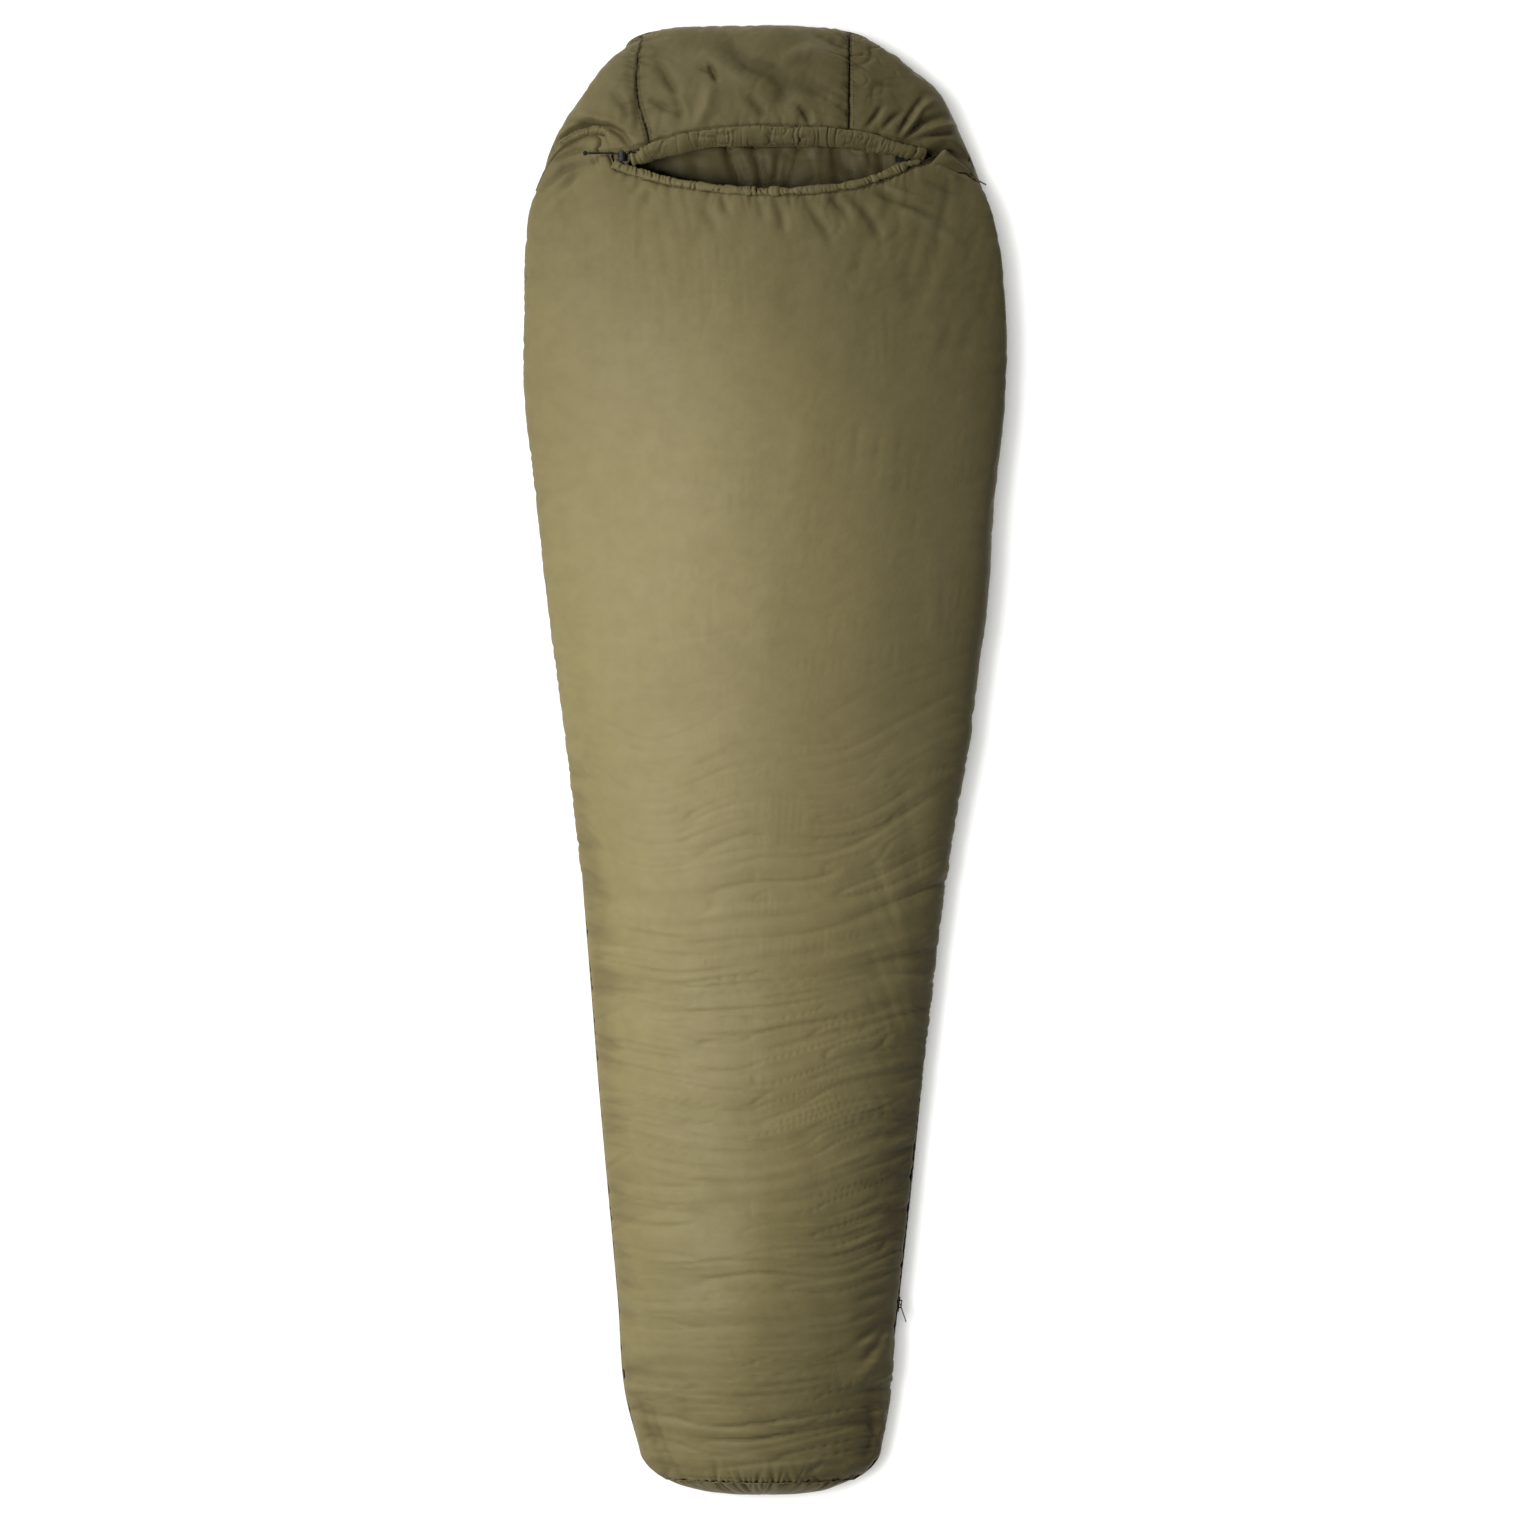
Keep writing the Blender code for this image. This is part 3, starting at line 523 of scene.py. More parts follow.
def cloth_piece(name, grid, look, skin=SKIN, closed=False, relief=None):
    """A closed skin of cloth: the fine grid outside, and every second point of it inside."""
    rows, columns = grid.shape[:2]
    inner = (grid - normals_of(grid, closed) * skin)[::2, ::2]
    outside = np.arange(rows * columns).reshape(rows, columns)
    inside = np.arange(inner.shape[0] * inner.shape[1]).reshape(inner.shape[:2]) + rows * columns
    faces = quads(outside, closed) + quads(inside, closed, turned=True)
    if closed:
        outside = np.concatenate([outside, outside[:, :1]], 1)
        inside = np.concatenate([inside, inside[:, :1]], 1)
    faces += strip(outside[0], inside[0], True) + strip(outside[-1], inside[-1], False)
    if not closed:
        faces += strip(outside[:, 0], inside[:, 0], False) + strip(outside[:, -1], inside[:, -1], True)
    mesh = mesh_of(np.concatenate([grid.reshape(-1, 3), inner.reshape(-1, 3)]), faces)
    if relief is not None:
        values = np.concatenate([relief.ravel(), relief[::2, ::2].ravel()])
        layer = mesh.attributes.new("relief", "FLOAT", "POINT")
        layer.data.foreach_set("value", values.astype(np.float32))
    return link(name, mesh, look)


def ring_frames(path):
    path = np.array(path, float)
    along = np.gradient(path, axis=0)
    along /= np.linalg.norm(along, axis=1, keepdims=True)
    side = np.cross(along, (0.0, 0.0, 1.0))
    side /= np.linalg.norm(side, axis=1, keepdims=True)
    return path, along, side, np.cross(side, along)


def tube_grid(path, sides, wide, high, tilt=0.0):
    """Rings round a path: wide across it on the level, and high upright. Both may be arrays."""
    path, along, side, up = ring_frames(path)
    side, up = math.cos(tilt) * side - math.sin(tilt) * up, math.sin(tilt) * side + math.cos(tilt) * up
    turns = np.linspace(0, 2 * math.pi, sides, endpoint=False)
    wide = np.broadcast_to(wide, (len(path), sides))[..., None]
    high = np.broadcast_to(high, (len(path), sides))[..., None]
    return (
        path[:, None]
        - wide * np.cos(turns)[None, :, None] * side[:, None]
        + high * np.sin(turns)[None, :, None] * up[:, None]
    )


def solid_tube(name, grid, look):
    """A closed tube from rings of points, with capped ends."""
    rows, sides = grid.shape[:2]
    index = np.arange(rows * sides).reshape(rows, sides)
    middle = np.array([grid[0].mean(0), grid[-1].mean(0)])
    faces = quads(index, closed=True)
    for k in range(sides):
        faces.append((index[0, (k + 1) % sides], index[0, k], rows * sides))
        faces.append((index[-1, k], index[-1, (k + 1) % sides], rows * sides + 1))
    mesh = mesh_of(np.concatenate([grid.reshape(-1, 3), middle]), [tuple(map(int, f)) for f in faces])
    return link(name, mesh, look)


def walk(path, values, pitch):
    """Values along a path, at places a set pitch apart."""
    path, values = np.array(path, float), np.array(values, float)
    lengths = distances(path)
    places = np.arange(pitch / 2, lengths[-1], pitch)
    return np.stack([np.interp(places, lengths, values[:, k]) for k in range(3)], 1)


def stitches(name, runs, look, pitch=0.0042, length=0.0030, radius=0.00042):
    """Rows of thread: one small rounded stitch at each step of each run of (points, normals)."""
    points, faces = [], []
    ring = 6
    profile = ((-0.5, 0.35, -0.4), (-0.3, 0.9, 0.5), (0.0, 1.0, 0.9), (0.3, 0.9, 0.5), (0.5, 0.35, -0.4))
    for path, out in runs:
        middle, up = walk(path, path, pitch), walk(path, out, pitch)
        up /= np.linalg.norm(up, axis=1, keepdims=True)
        along = np.gradient(middle, axis=0)
        along /= np.linalg.norm(along, axis=1, keepdims=True)
        side = np.cross(along, up)
        for m, a, s, u in zip(middle, along, side, up):
            first = len(points)
            for place, size, lift in profile:
                for k in range(ring):
                    turn = 2 * math.pi * k / ring
                    offset = math.cos(turn) * s + math.sin(turn) * u
                    points.append(m + a * place * length + u * lift * radius + offset * radius * size)
            for r in range(len(profile) - 1):
                for k in range(ring):
                    j = (k + 1) % ring
                    a0, a1 = first + r * ring + k, first + r * ring + j
                    faces.append((a1, a0, a0 + ring, a1 + ring))
            last = first + (len(profile) - 1) * ring
            faces.append(tuple(range(first, first + ring)))
            faces.append(tuple(range(last + ring - 1, last - 1, -1)))
    return link(name, mesh_of(points, faces), look)


# ---------------------------------------------------------------- materials

def new_material(name, colour, roughness, sheen=0.0, metallic=0.0, specular=0.5):
    made = bpy.data.materials.new(name)
    made.use_nodes = True
    shader = made.node_tree.nodes["Principled BSDF"]
    shader.inputs["Base Color"].default_value = (*colour, 1.0)
    shader.inputs["Roughness"].default_value = roughness
    shader.inputs["Metallic"].default_value = metallic
    shader.inputs["Specular IOR Level"].default_value = specular
    shader.inputs["Sheen Weight"].default_value = sheen
    shader.inputs["Sheen Roughness"].default_value = 0.45
    return made, made.node_tree, shader


def node(tree, kind, **values):
    made = tree.nodes.new(kind)
    for key, value in values.items():
        if key in made.inputs:
            made.inputs[key].default_value = value
        else:
            setattr(made, key, value)
    return made


def weave_height(tree, coords, pitch):
    """A plain weave: threads across and along that pass over each other."""
    total = None
    for direction in ("X", "Y"):
        wave = node(
            tree, "ShaderNodeTexWave", wave_type="BANDS", bands_direction=direction,
            Scale=1.0 / pitch / 3.2, Distortion=0.35, Detail=0.0,
        )
        tree.links.new(coords, wave.inputs["Vector"])
        if total is None:
            total = wave.outputs["Fac"]
        else:
            join = node(tree, "ShaderNodeMath", operation="MULTIPLY")
            tree.links.new(total, join.inputs[0])
            tree.links.new(wave.outputs["Fac"], join.inputs[1])
            total = join.outputs[0]
    return total


def noise_node(tree, coords, scale, detail=3.0, roughness=0.55):
    made = node(tree, "ShaderNodeTexNoise", Scale=scale, Detail=detail, Roughness=roughness)
    tree.links.new(coords, made.inputs["Vector"])
    return made.outputs["Fac"]


def bump_node(tree, height, strength, distance):
    made = node(tree, "ShaderNodeBump", Strength=strength, Distance=distance)
    tree.links.new(height, made.inputs["Height"])
    return made


def mix_colour(tree, factor, first, second):
    made = tree.nodes.new("ShaderNodeMix")
    made.data_type = "RGBA"
    tree.links.new(factor, made.inputs["Factor"])
    for socket, value in ((made.inputs[6], first), (made.inputs[7], second)):
        if isinstance(value, tuple):
            socket.default_value = (*value, 1.0)
        else:
            tree.links.new(value, socket)
    return made.outputs[2]


def spread(tree, value, low, high, to_low=0.0, to_high=1.0):
    made = tree.nodes.new("ShaderNodeMapRange")
    made.inputs["From Min"].default_value = low
    made.inputs["From Max"].default_value = high
    made.inputs["To Min"].default_value = to_low
    made.inputs["To Max"].default_value = to_high
    tree.links.new(value, made.inputs["Value"])
    return made.outputs["Result"]


def cloth_material(name, colour, mottle_and_crease_shade, worn, roughness=0.58, sheen=0.03, weave=0.0007, relief=True):
    """Woven nylon: uneven dye, painted shade that darkens the creases, ridges a little worn, and a fine
    weave.
    """
    made, tree, shader = new_material(name, colour, roughness, sheen, specular=0.13)
    coords = node(tree, "ShaderNodeTexCoord").outputs["Object"]
    broad = spread(tree, noise_node(tree, coords, 3.1), 0.35, 0.65)
    mottled = spread(tree, noise_node(tree, coords, 38.0, 5.0, 0.65), 0.38, 0.70, 0.0, 0.35)
    shade = mix_colour(tree, broad, tuple(c * 0.95 for c in colour), tuple(c * 1.05 for c in colour))
    shade = mix_colour(tree, mottled, shade, tuple(0.5 * (c + d) for c, d in zip(colour, mottle_and_crease_shade)))
    if relief:
        layer = node(tree, "ShaderNodeAttribute", attribute_name="relief").outputs["Fac"]
        # Painted shade: where the relief dips into a crease, the colour is darkened towards the second
        # colour, as shade would darken it
        shade = mix_colour(tree, spread(tree, layer, -0.0010, -0.0050, 0.0, 0.50), shade, mottle_and_crease_shade)
        shade = mix_colour(tree, spread(tree, layer, 0.0008, 0.0045, 0.0, 0.22), shade, worn)
    tree.links.new(shade, shader.inputs["Base Color"])
    gloss = spread(tree, noise_node(tree, coords, 17.0, 4.0), 0.3, 0.7, roughness - 0.06, roughness + 0.07)
    tree.links.new(gloss, shader.inputs["Roughness"])
    crumple = bump_node(tree, noise_node(tree, coords, 75.0, 4.0, 0.55), 0.35, 0.0016)
    threads = bump_node(tree, weave_height(tree, coords, weave), 0.02, 0.00012)
    tree.links.new(crumple.outputs["Normal"], threads.inputs["Normal"])
    tree.links.new(threads.outputs["Normal"], shader.inputs["Normal"])
    return made


def hard_material(name, colour, worn, roughness, metallic=0.0, grain=900.0):
    """Moulded plastic or painted metal: fine grain, scuffs, and paler worn patches."""
    made, tree, shader = new_material(name, colour, roughness, metallic=metallic)
    coords = node(tree, "ShaderNodeTexCoord").outputs["Object"]
    scuffs = spread(tree, noise_node(tree, coords, 420.0, 6.0, 0.7), 0.52, 0.72, 0.0, 0.8)
    tree.links.new(mix_colour(tree, scuffs, colour, worn), shader.inputs["Base Color"])
    gloss = spread(tree, noise_node(tree, coords, 260.0), 0.3, 0.7, roughness - 0.08, roughness + 0.14)
    tree.links.new(gloss, shader.inputs["Roughness"])
    bump = bump_node(tree, noise_node(tree, coords, grain), 0.25, 0.00012)
    tree.links.new(bump.outputs["Normal"], shader.inputs["Normal"])
    return made


# Each cloth's second colour serves both the random mottling and the painted shade in its creases
OLIVE = (0.163, 0.137, 0.061)
OLIVE_MOTTLE_AND_CREASE_SHADE = (0.070, 0.054, 0.022)
OLIVE_WORN = (0.220, 0.182, 0.094)
LINING = (0.150, 0.122, 0.055)
LINING_MOTTLE_AND_CREASE_SHADE = (0.066, 0.052, 0.022)
LINING_WORN = (0.180, 0.148, 0.074)

SHELL_LOOK = cloth_material("shell_nylon", OLIVE, OLIVE_MOTTLE_AND_CREASE_SHADE, OLIVE_WORN)
LINING_LOOK = cloth_material("lining_nylon", LINING, LINING_MOTTLE_AND_CREASE_SHADE, LINING_WORN, 0.50, 0.08)
TAPE_LOOK = cloth_material(
    "zip_tape", (0.012, 0.012, 0.011), (0.006, 0.006, 0.006), (0.03, 0.03, 0.028), 0.7, 0.1, 0.0009, False
)
CORD_LOOK = cloth_material(
    "black_cord", (0.014, 0.014, 0.013), (0.006, 0.006, 0.006), (0.03, 0.03, 0.03), 0.65, 0.2, 0.0006, False
)
THREAD_LOOK = cloth_material(
    "thread", (0.110, 0.089, 0.040), (0.06, 0.048, 0.022), (0.14, 0.115, 0.056), 0.6, 0.15, 0.0003, False
)
COIL_LOOK = hard_material("zip_coil", (0.012, 0.012, 0.012), (0.035, 0.035, 0.035), 0.35)
METAL_LOOK = hard_material("slider_enamel", (0.014, 0.014, 0.015), (0.10, 0.10, 0.10), 0.34, 0.75)
PLASTIC_LOOK = hard_material("lock_plastic", (0.013, 0.013, 0.013), (0.03, 0.03, 0.03), 0.40)
SPRING_LOOK = hard_material("spring_steel", (0.55, 0.55, 0.56), (0.7, 0.7, 0.7), 0.28, 1.0)


# ---------------------------------------------------------------- cross-sections

def zip_circle():
    top, bottom = np.array(ZIP_TOP), np.array(ZIP_BOTTOM)
    chord = float(np.linalg.norm(top - bottom))
    along = (top - bottom) / chord
    outward = np.array([along[1], -along[0]])
    radius = chord * chord / (8 * ZIP_SAGITTA) + ZIP_SAGITTA / 2
    return (top + bottom) / 2 - outward * (radius - ZIP_SAGITTA), radius


ZIP_CENTRE, ZIP_RADIUS = zip_circle()


def zip_x(y):
    return ZIP_CENTRE[0] + np.sqrt(ZIP_RADIUS**2 - (y - ZIP_CENTRE[1]) ** 2)


def foot_scale(y):
    share = np.clip((FOOT_BEND - y) / (FOOT_BEND + HALF_LENGTH), 0, 1)
    return (1 - share ** (1 / 0.6)) ** (1 / 3)


def seams_at(y):
    full = max(y, FOOT_BEND)
    left = float(follow(OUTLINE, full, 1) + LEFT_OVERHANG * smooth((full + 0.3) / 0.6))
    sewn = float(follow(OUTLINE, full, 2))
    right = sewn + (float(zip_x(full)) - sewn) * float(smooth((full + 0.960) / 0.040))
    slot = float(smooth((full + 0.945) / 0.030))
    return left, right, GAP / 2 + (ZIP_SLOT - GAP / 2) * slot


def widest_at(y, seams, slot):
    full = max(y, FOOT_BEND)
    found = []
    for column, seam, low in ((1, seams[0], GAP / 2), (2, seams[1], slot)):
        edge = float(follow(OUTLINE, full, column))
        if abs(edge) < abs(seam):
            edge = seam
        found.append((edge, SEAM_HEIGHT + low + 0.006 + 0.3 * abs(edge - seam)))
    return found


def arch(left_seam, left_edge, top, right_edge, right_seam):
    """The upper wall's curve from the left seam, out round the edge and over the top, to the right."""
    turn = np.linspace(0, math.pi / 2, 48)

    def half(seam, edge):
        lip_x = seam[0] + (edge[0] - seam[0]) * np.sin(turn)
        lip_z = edge[1] - (edge[1] - seam[1]) * np.cos(turn)
        dome_x = top[0] + (edge[0] - top[0]) * np.cos(turn)
        dome_z = edge[1] + (top[1] - edge[1]) * (0.5 * np.sin(turn) + 0.5 * (1 - np.cos(turn) ** 1.7))
        lip = np.stack([lip_x, lip_z], 1)[:-1]
        return np.concatenate([lip, np.stack([dome_x, dome_z], 1)])

    left, right = half(left_seam, left_edge), half(right_seam, right_edge)
    return np.concatenate([left, right[::-1][1:]])


def even(points, count):
    """The curve again, with count points evenly spaced along it."""
    lengths = distances(points)
    places = np.linspace(0, lengths[-1], count)
    return np.stack([np.interp(places, lengths, points[:, k]) for k in range(points.shape[1])], 1)


def upper_section(y, count, inside=False):
    left, right, slot = seams_at(y)
    edges = widest_at(y, (left, right), slot)
    middle = (edges[0][0] + edges[1][0]) / 2
    crest = float(follow(CREST, max(y, FOOT_BEND)))
    left_z, right_z = SEAM_HEIGHT + GAP / 2, SEAM_HEIGHT + slot
    if inside:
        taper = float(smooth((HEM_Y + 0.02 - y) / 0.16))
        loft = HEM_LOFT + (UPPER_LOFT - HEM_LOFT) * taper
        side = 0.018 + (EDGE_LOFT - 0.018) * taper
        inner = [(edges[0][0] + side, edges[0][1] + 0.004), (edges[1][0] - side, edges[1][1] + 0.004)]
        seams = (left + SIDE_LOFT, left_z), (right - SIDE_LOFT, right_z)
        return even(arch(seams[0], inner[0], (middle, crest - loft), inner[1], seams[1]), count)
    return even(arch((left, left_z), edges[0], (middle, crest), edges[1], (right, right_z)), count)


def top_part(section):
    """The part of a section between its leftmost and its rightmost point."""
    return slice(int(np.argmin(section[:, 0])), int(np.argmax(section[:, 0])) + 1)


def base_section(y, count, inside=False):
    """The base wall's curve from the right seam under the sleeper to the left."""
    left, right, slot = seams_at(y)
    low = SEAM_HEIGHT - GAP / 2, SEAM_HEIGHT - slot
    turn = np.linspace(0, 1, 24)
    inset, height, side = FLOOR_INSET, 0.0, 0.0
    if inside:
        inset, height, side = FLOOR_INSET + EDGE_LOFT, BASE_LOFT, SIDE_LOFT
    pieces = []
    for seam, z, floor in ((right - side, low[1], right - inset), (left + side, low[0], left + inset)):
        if inside:
            x = seam + (floor - seam) * turn
            rise = z + (height - z) * smooth(turn)
        else:
            x = seam + (floor - seam) * (1 - np.cos(turn * math.pi / 2))
            rise = z - (z - height) * np.sin(turn * math.pi / 2)
        pieces.append(np.stack([x, rise], 1))
    return even(np.concatenate([pieces[0], pieces[1][::-1]]), count)


def placed(section, y):
    """A section's points in space, drawn in where the foot end closes."""
    scale = float(foot_scale(y))
    x = FOOT_CENTRE[0] + (section[:, 0] - FOOT_CENTRE[0]) * scale
    z = FOOT_CENTRE[1] + (section[:, 1] - FOOT_CENTRE[1]) * scale
    return np.stack([x, np.full(len(x), y), z], 1)


def head_edge_y(x):
    return follow(HEAD_EDGE, x)


def upper_grid(rows, head_rows, columns):
    """The upper wall's outer surface, from the foot panel to its head edge."""
    places = np.linspace(FOOT_PANEL_Y, HEAD_START, rows)
    grid = [placed(upper_section(y, columns), y) for y in places]
    # Each column's end: the place where its own x meets the head edge
    ends = np.full(columns, HEM_Y)
    for _ in range(5):
        x = np.array([upper_section(y, columns)[c, 0] for c, y in enumerate(ends)])
        ends = 0.5 * ends + 0.5 * head_edge_y(x)
    for share in np.linspace(0, 1, head_rows + 1)[1:]:
        row = []
        for c, end in enumerate(ends):
            y = HEAD_START + (end - HEAD_START) * share
            x, z = upper_section(y, columns)[c]
            row.append((x, y, z))
        grid.append(np.array(row))
    return np.array(grid)


# ---------------------------------------------------------------- the upper shell

DIMPLE_AT = (-0.243, 0.913)
# Folds of the upper shell, each a path on the level plane, its width and its height
SHELL_FOLDS = (
    (((-0.338, 0.845), (-0.326, 0.861), (-0.300, 0.884), (-0.272, 0.891), (-0.245, 0.892)), 0.0050, -0.0045),
    (((-0.326, 0.830), (-0.305, 0.851), (-0.285, 0.874), (-0.254, 0.885)), 0.0060, -0.0040),
    (((-0.319, 0.899), (-0.296, 0.907), (-0.269, 0.914)), 0.0032, -0.0038),
    (((-0.330, 0.812), (-0.312, 0.838), (-0.290, 0.858)), 0.0070, 0.0030),
    (((-0.201, 0.842), (-0.182, 0.866)), 0.0055, -0.0032),
    (((-0.178, 0.826), (-0.170, 0.850)), 0.0060, -0.0028),
    (((-0.066, 0.843), (-0.060, 0.826), (-0.056, 0.812)), 0.0050, -0.0036),
    (((-0.092, 0.820), (-0.078, 0.800), (-0.072, 0.780)), 0.0080, -0.0026),
    (((-0.014, 0.842), (-0.008, 0.826), (-0.004, 0.800)), 0.0060, -0.0030),
    (((0.014, 0.842), (0.024, 0.808), (0.030, 0.780)), 0.0065, -0.0034),
    (((0.056, 0.848), (0.065, 0.822), (0.089, 0.789), (0.100, 0.760)), 0.0075, -0.0038),
    (((0.094, 0.842), (0.117, 0.822), (0.126, 0.798)), 0.0060, -0.0034),
    (((0.116, 0.846), (0.145, 0.822), (0.161, 0.800), (0.172, 0.772)), 0.0070, -0.0036),
    (((0.158, 0.850), (0.197, 0.834), (0.232, 0.820), (0.268, 0.804)), 0.0060, -0.0040),
    (((0.176, 0.856), (0.210, 0.842), (0.244, 0.832)), 0.0048, 0.0034),
    (((0.205, 0.824), (0.232, 0.806), (0.263, 0.790), (0.290, 0.770)), 0.0070, 0.0040),
    (((0.255, 0.890), (0.292, 0.870)), 0.0048, 0.0034),
    (((0.272, 0.888), (0.314, 0.872)), 0.0045, -0.0032),
    (((0.232, 0.868), (0.262, 0.856), (0.298, 0.842)), 0.0052, -0.0030),
    (((0.190, -0.826), (0.168, -0.848), (0.135, -0.872), (0.098, -0.886)), 0.0060, -0.0040),
    (((0.192, -0.834), (0.172, -0.866), (0.148, -0.896)), 0.0055, -0.0034),
    (((0.188, -0.812), (0.160, -0.826), (0.128, -0.834)), 0.0055, -0.0030),
    (((0.186, -0.876), (0.164, -0.900), (0.136, -0.924)), 0.0070, 0.0036),
    (((0.190, -0.790), (0.168, -0.798), (0.138, -0.806)), 0.0050, -0.0026),
    (((0.156, -0.958), (0.164, -1.005), (0.152, -1.048)), 0.0065, -0.0036),
    (((0.174, -0.940), (0.178, -0.990), (0.165, -1.040)), 0.0060, 0.0030),
    (((-0.190, -0.952), (-0.180, -0.990), (-0.164, -1.030), (-0.142, -1.072)), 0.0060, -0.0040),
    (((-0.172, -0.966), (-0.158, -1.010), (-0.138, -1.050), (-0.121, -1.074)), 0.0050, -0.0038),
    (((-0.196, -0.972), (-0.184, -1.020), (-0.168, -1.050)), 0.0060, 0.0032),
    (((0.058, -1.066), (0.085, -1.050), (0.120, -1.054)), 0.0045, -0.0030),
)


def upper_arcs(grid):
    """Distance of each point from the left and from the right seam, measured over the cloth."""
    steps = np.linalg.norm(np.diff(grid, axis=1), axis=2)
    arcs = np.concatenate([np.zeros((len(grid), 1)), np.cumsum(steps, 1)], 1)
    return arcs, arcs[:, -1:] - arcs


def crosswise(grid):
    """Fine wrinkles that run across the bag, long and thin, and rise a little to the zip side."""
    x = grid[..., 0]
    bent = grid.copy()
    bent[..., 1] -= 0.10 * x + 0.7 * x * x + 0.034 * noise(grid, (0.15, 0.24, 0.4), 14)
    height = 0.0009 * noise(bent, (0.24, 0.036, 0.5), 15) + 0.0008 * noise(bent, (0.15, 0.012, 0.5), 19)
    for seed, size, depth in (
        (16, (0.20, 0.020, 0.5), 0.0014),
        (17, (0.15, 0.0135, 0.5), 0.0011),
        (18, (0.10, 0.009, 0.5), 0.0008),
    ):
        valley = np.clip(1 - abs(noise(bent, size, seed)) / 0.24, 0, 1) ** 1.3
        height = height - depth * valley * smooth(0.45 + 1.2 * noise(grid, (0.13, 0.07, 0.4), seed + 14))
    return 1.7 * height


def dimple(grid):
    """The puckered star on the left shoulder, where the end of the collar is sewn down."""
    offset = grid[..., :2] - np.array(DIMPLE_AT)
    away = np.linalg.norm(offset, axis=2)
    turn = (np.arctan2(offset[..., 1], offset[..., 0]) + math.pi) * 0.011
    star = tucks(turn + 1.0, away, 0.0088, 0.0022, 0.030, 171, 0.1) * smooth(away / 0.004)
    rim = 0.0042 * np.exp(-(((away - 0.013) / 0.008) ** 2))
    return rim - 0.0080 * np.exp(-((away / 0.0060) ** 2)) - 0.0070 * star * np.exp(-((away / 0.026) ** 2))


def make_upper_shell():
    grid = upper_grid(BODY_ROWS, HEAD_ROWS, BODY_COLUMNS)
    y = grid[..., 1]
    left, right = upper_arcs(grid)
    sway = noise(grid, (0.16, 0.22, 0.3), 3) * 0.0045 + noise(grid, (0.05, 0.11, 0.2), 5) * 0.0016
    seamed = smooth(np.minimum(left, right) / 0.05) * smooth((y + 1.075) / 0.05)
    grid = grid + normals_of(grid) * (sway * seamed)[..., None]

    # The cloth is cut longer than its place towards the foot, and wider towards the collar
    slack_along = 0.006 + 0.028 * smooth((-0.25 - y[:, 0]) / 0.55) + 0.006 * smooth((y[:, 0] - 0.4) / 0.3)
    rest = grid.copy()
    rest[..., 1] += np.concatenate([[0], np.cumsum(np.diff(y[:, 66]) * slack_along[1:])])[:, None]
    slack_across = 0.004 + 0.050 * smooth((y - 0.66) / 0.16)
    rest[..., 0] *= 1 + slack_across
    rest[..., 2] *= 1 + slack_across
    hold = np.full(y.shape, 0.030) - 0.014 * smooth((-0.25 - y) / 0.5)
    hold = np.maximum(hold, 0.5 * (1 - smooth(np.minimum(left, right) / 0.02)))
    hold[:, 0] = hold[:, -1] = hold[0] = hold[-1] = 1.0
    ruffled = grid + normals_of(grid) * (noise(grid, (0.06, 0.02, 0.04), 8) * 0.0005)[..., None]
    settled = settle(ruffled, rest, hold, 16, 0.6, 0.011)

    flat = finer(grid)
    grid = finer(settled)
    y = grid[..., 1]
    left, right = upper_arcs(flat)
    relief = ((grid - flat) * normals_of(flat)).sum(2)
    lower = smooth((0.1 - y) / 0.8)
    spread_across = smooth((0.30 - y) / 0.75)
    inward = smooth(np.minimum(left, right) / 0.03)
    height = (0.06 + 0.94 * spread_across) * crosswise(flat) * inward * smooth((y + 1.075) / 0.03)
    height -= 0.0022 * tucks(y, left, 0.015, 0.0026, 0.060, 21)
    height -= 0.0024 * tucks(y + 3.0, right, 0.015, 0.0026, 0.065, 22)
    height -= 0.0022 * tucks(y + 5.0, left, 0.047, 0.0075, 0.15, 23, 0.3) * (0.4 + 0.6 * lower)
    height -= 0.0022 * tucks(y + 7.0, right, 0.043, 0.0075, 0.15, 24, 0.3) * (0.4 + 0.6 * lower)
    from_foot = np.linalg.norm(grid - grid[:1], axis=2)
    height -= 0.0042 * tucks(flat[..., 0] + 2.0, from_foot, 0.0085, 0.0022, 0.018, 25)
    from_hem = np.linalg.norm(flat[-1:] - flat, axis=2)
    collar = smooth((0.25 - abs(flat[..., 0] - 0.01)) / 0.05)
    height -= 0.0026 * tucks(flat[..., 0] + 4.0, from_hem, 0.0105, 0.0018, 0.020, 26, 0.25) * collar
    height -= 0.0022 * tucks(flat[..., 0] + 6.0, from_hem, 0.046, 0.0075, 0.13, 27, 0.35) * collar
    shoulder = 1 - collar
    height -= 0.0030 * tucks(flat[..., 0] + 8.0, from_hem, 0.010, 0.0024, 0.020, 28) * shoulder
    height += crumples(flat, 0.055, 0.0018, 29) * smooth((y - 0.55) / 0.25)
    for path, width, depth in SHELL_FOLDS:
        height += fold(flat, path, width * 1.2, depth * (1.0 if path[0][1] > 0 else 0.7))
    height += dimple(flat)
    height -= 0.0022 * np.exp(-((left / 0.005) ** 2)) + 0.0016 * np.exp(-((right / 0.004) ** 2))
    # The edge of the head end rolls down into its seam
    roll = np.exp(-((from_hem / 0.0075) ** 2))
    height -= (0.0022 + 0.0048 * shoulder) * roll
    fixed = smooth(from_hem / 0.004 + 0.3)
    grid = grid + normals_of(grid) * (height * fixed)[..., None]
    return grid, relief + height


# ---------------------------------------------------------------- base and foot

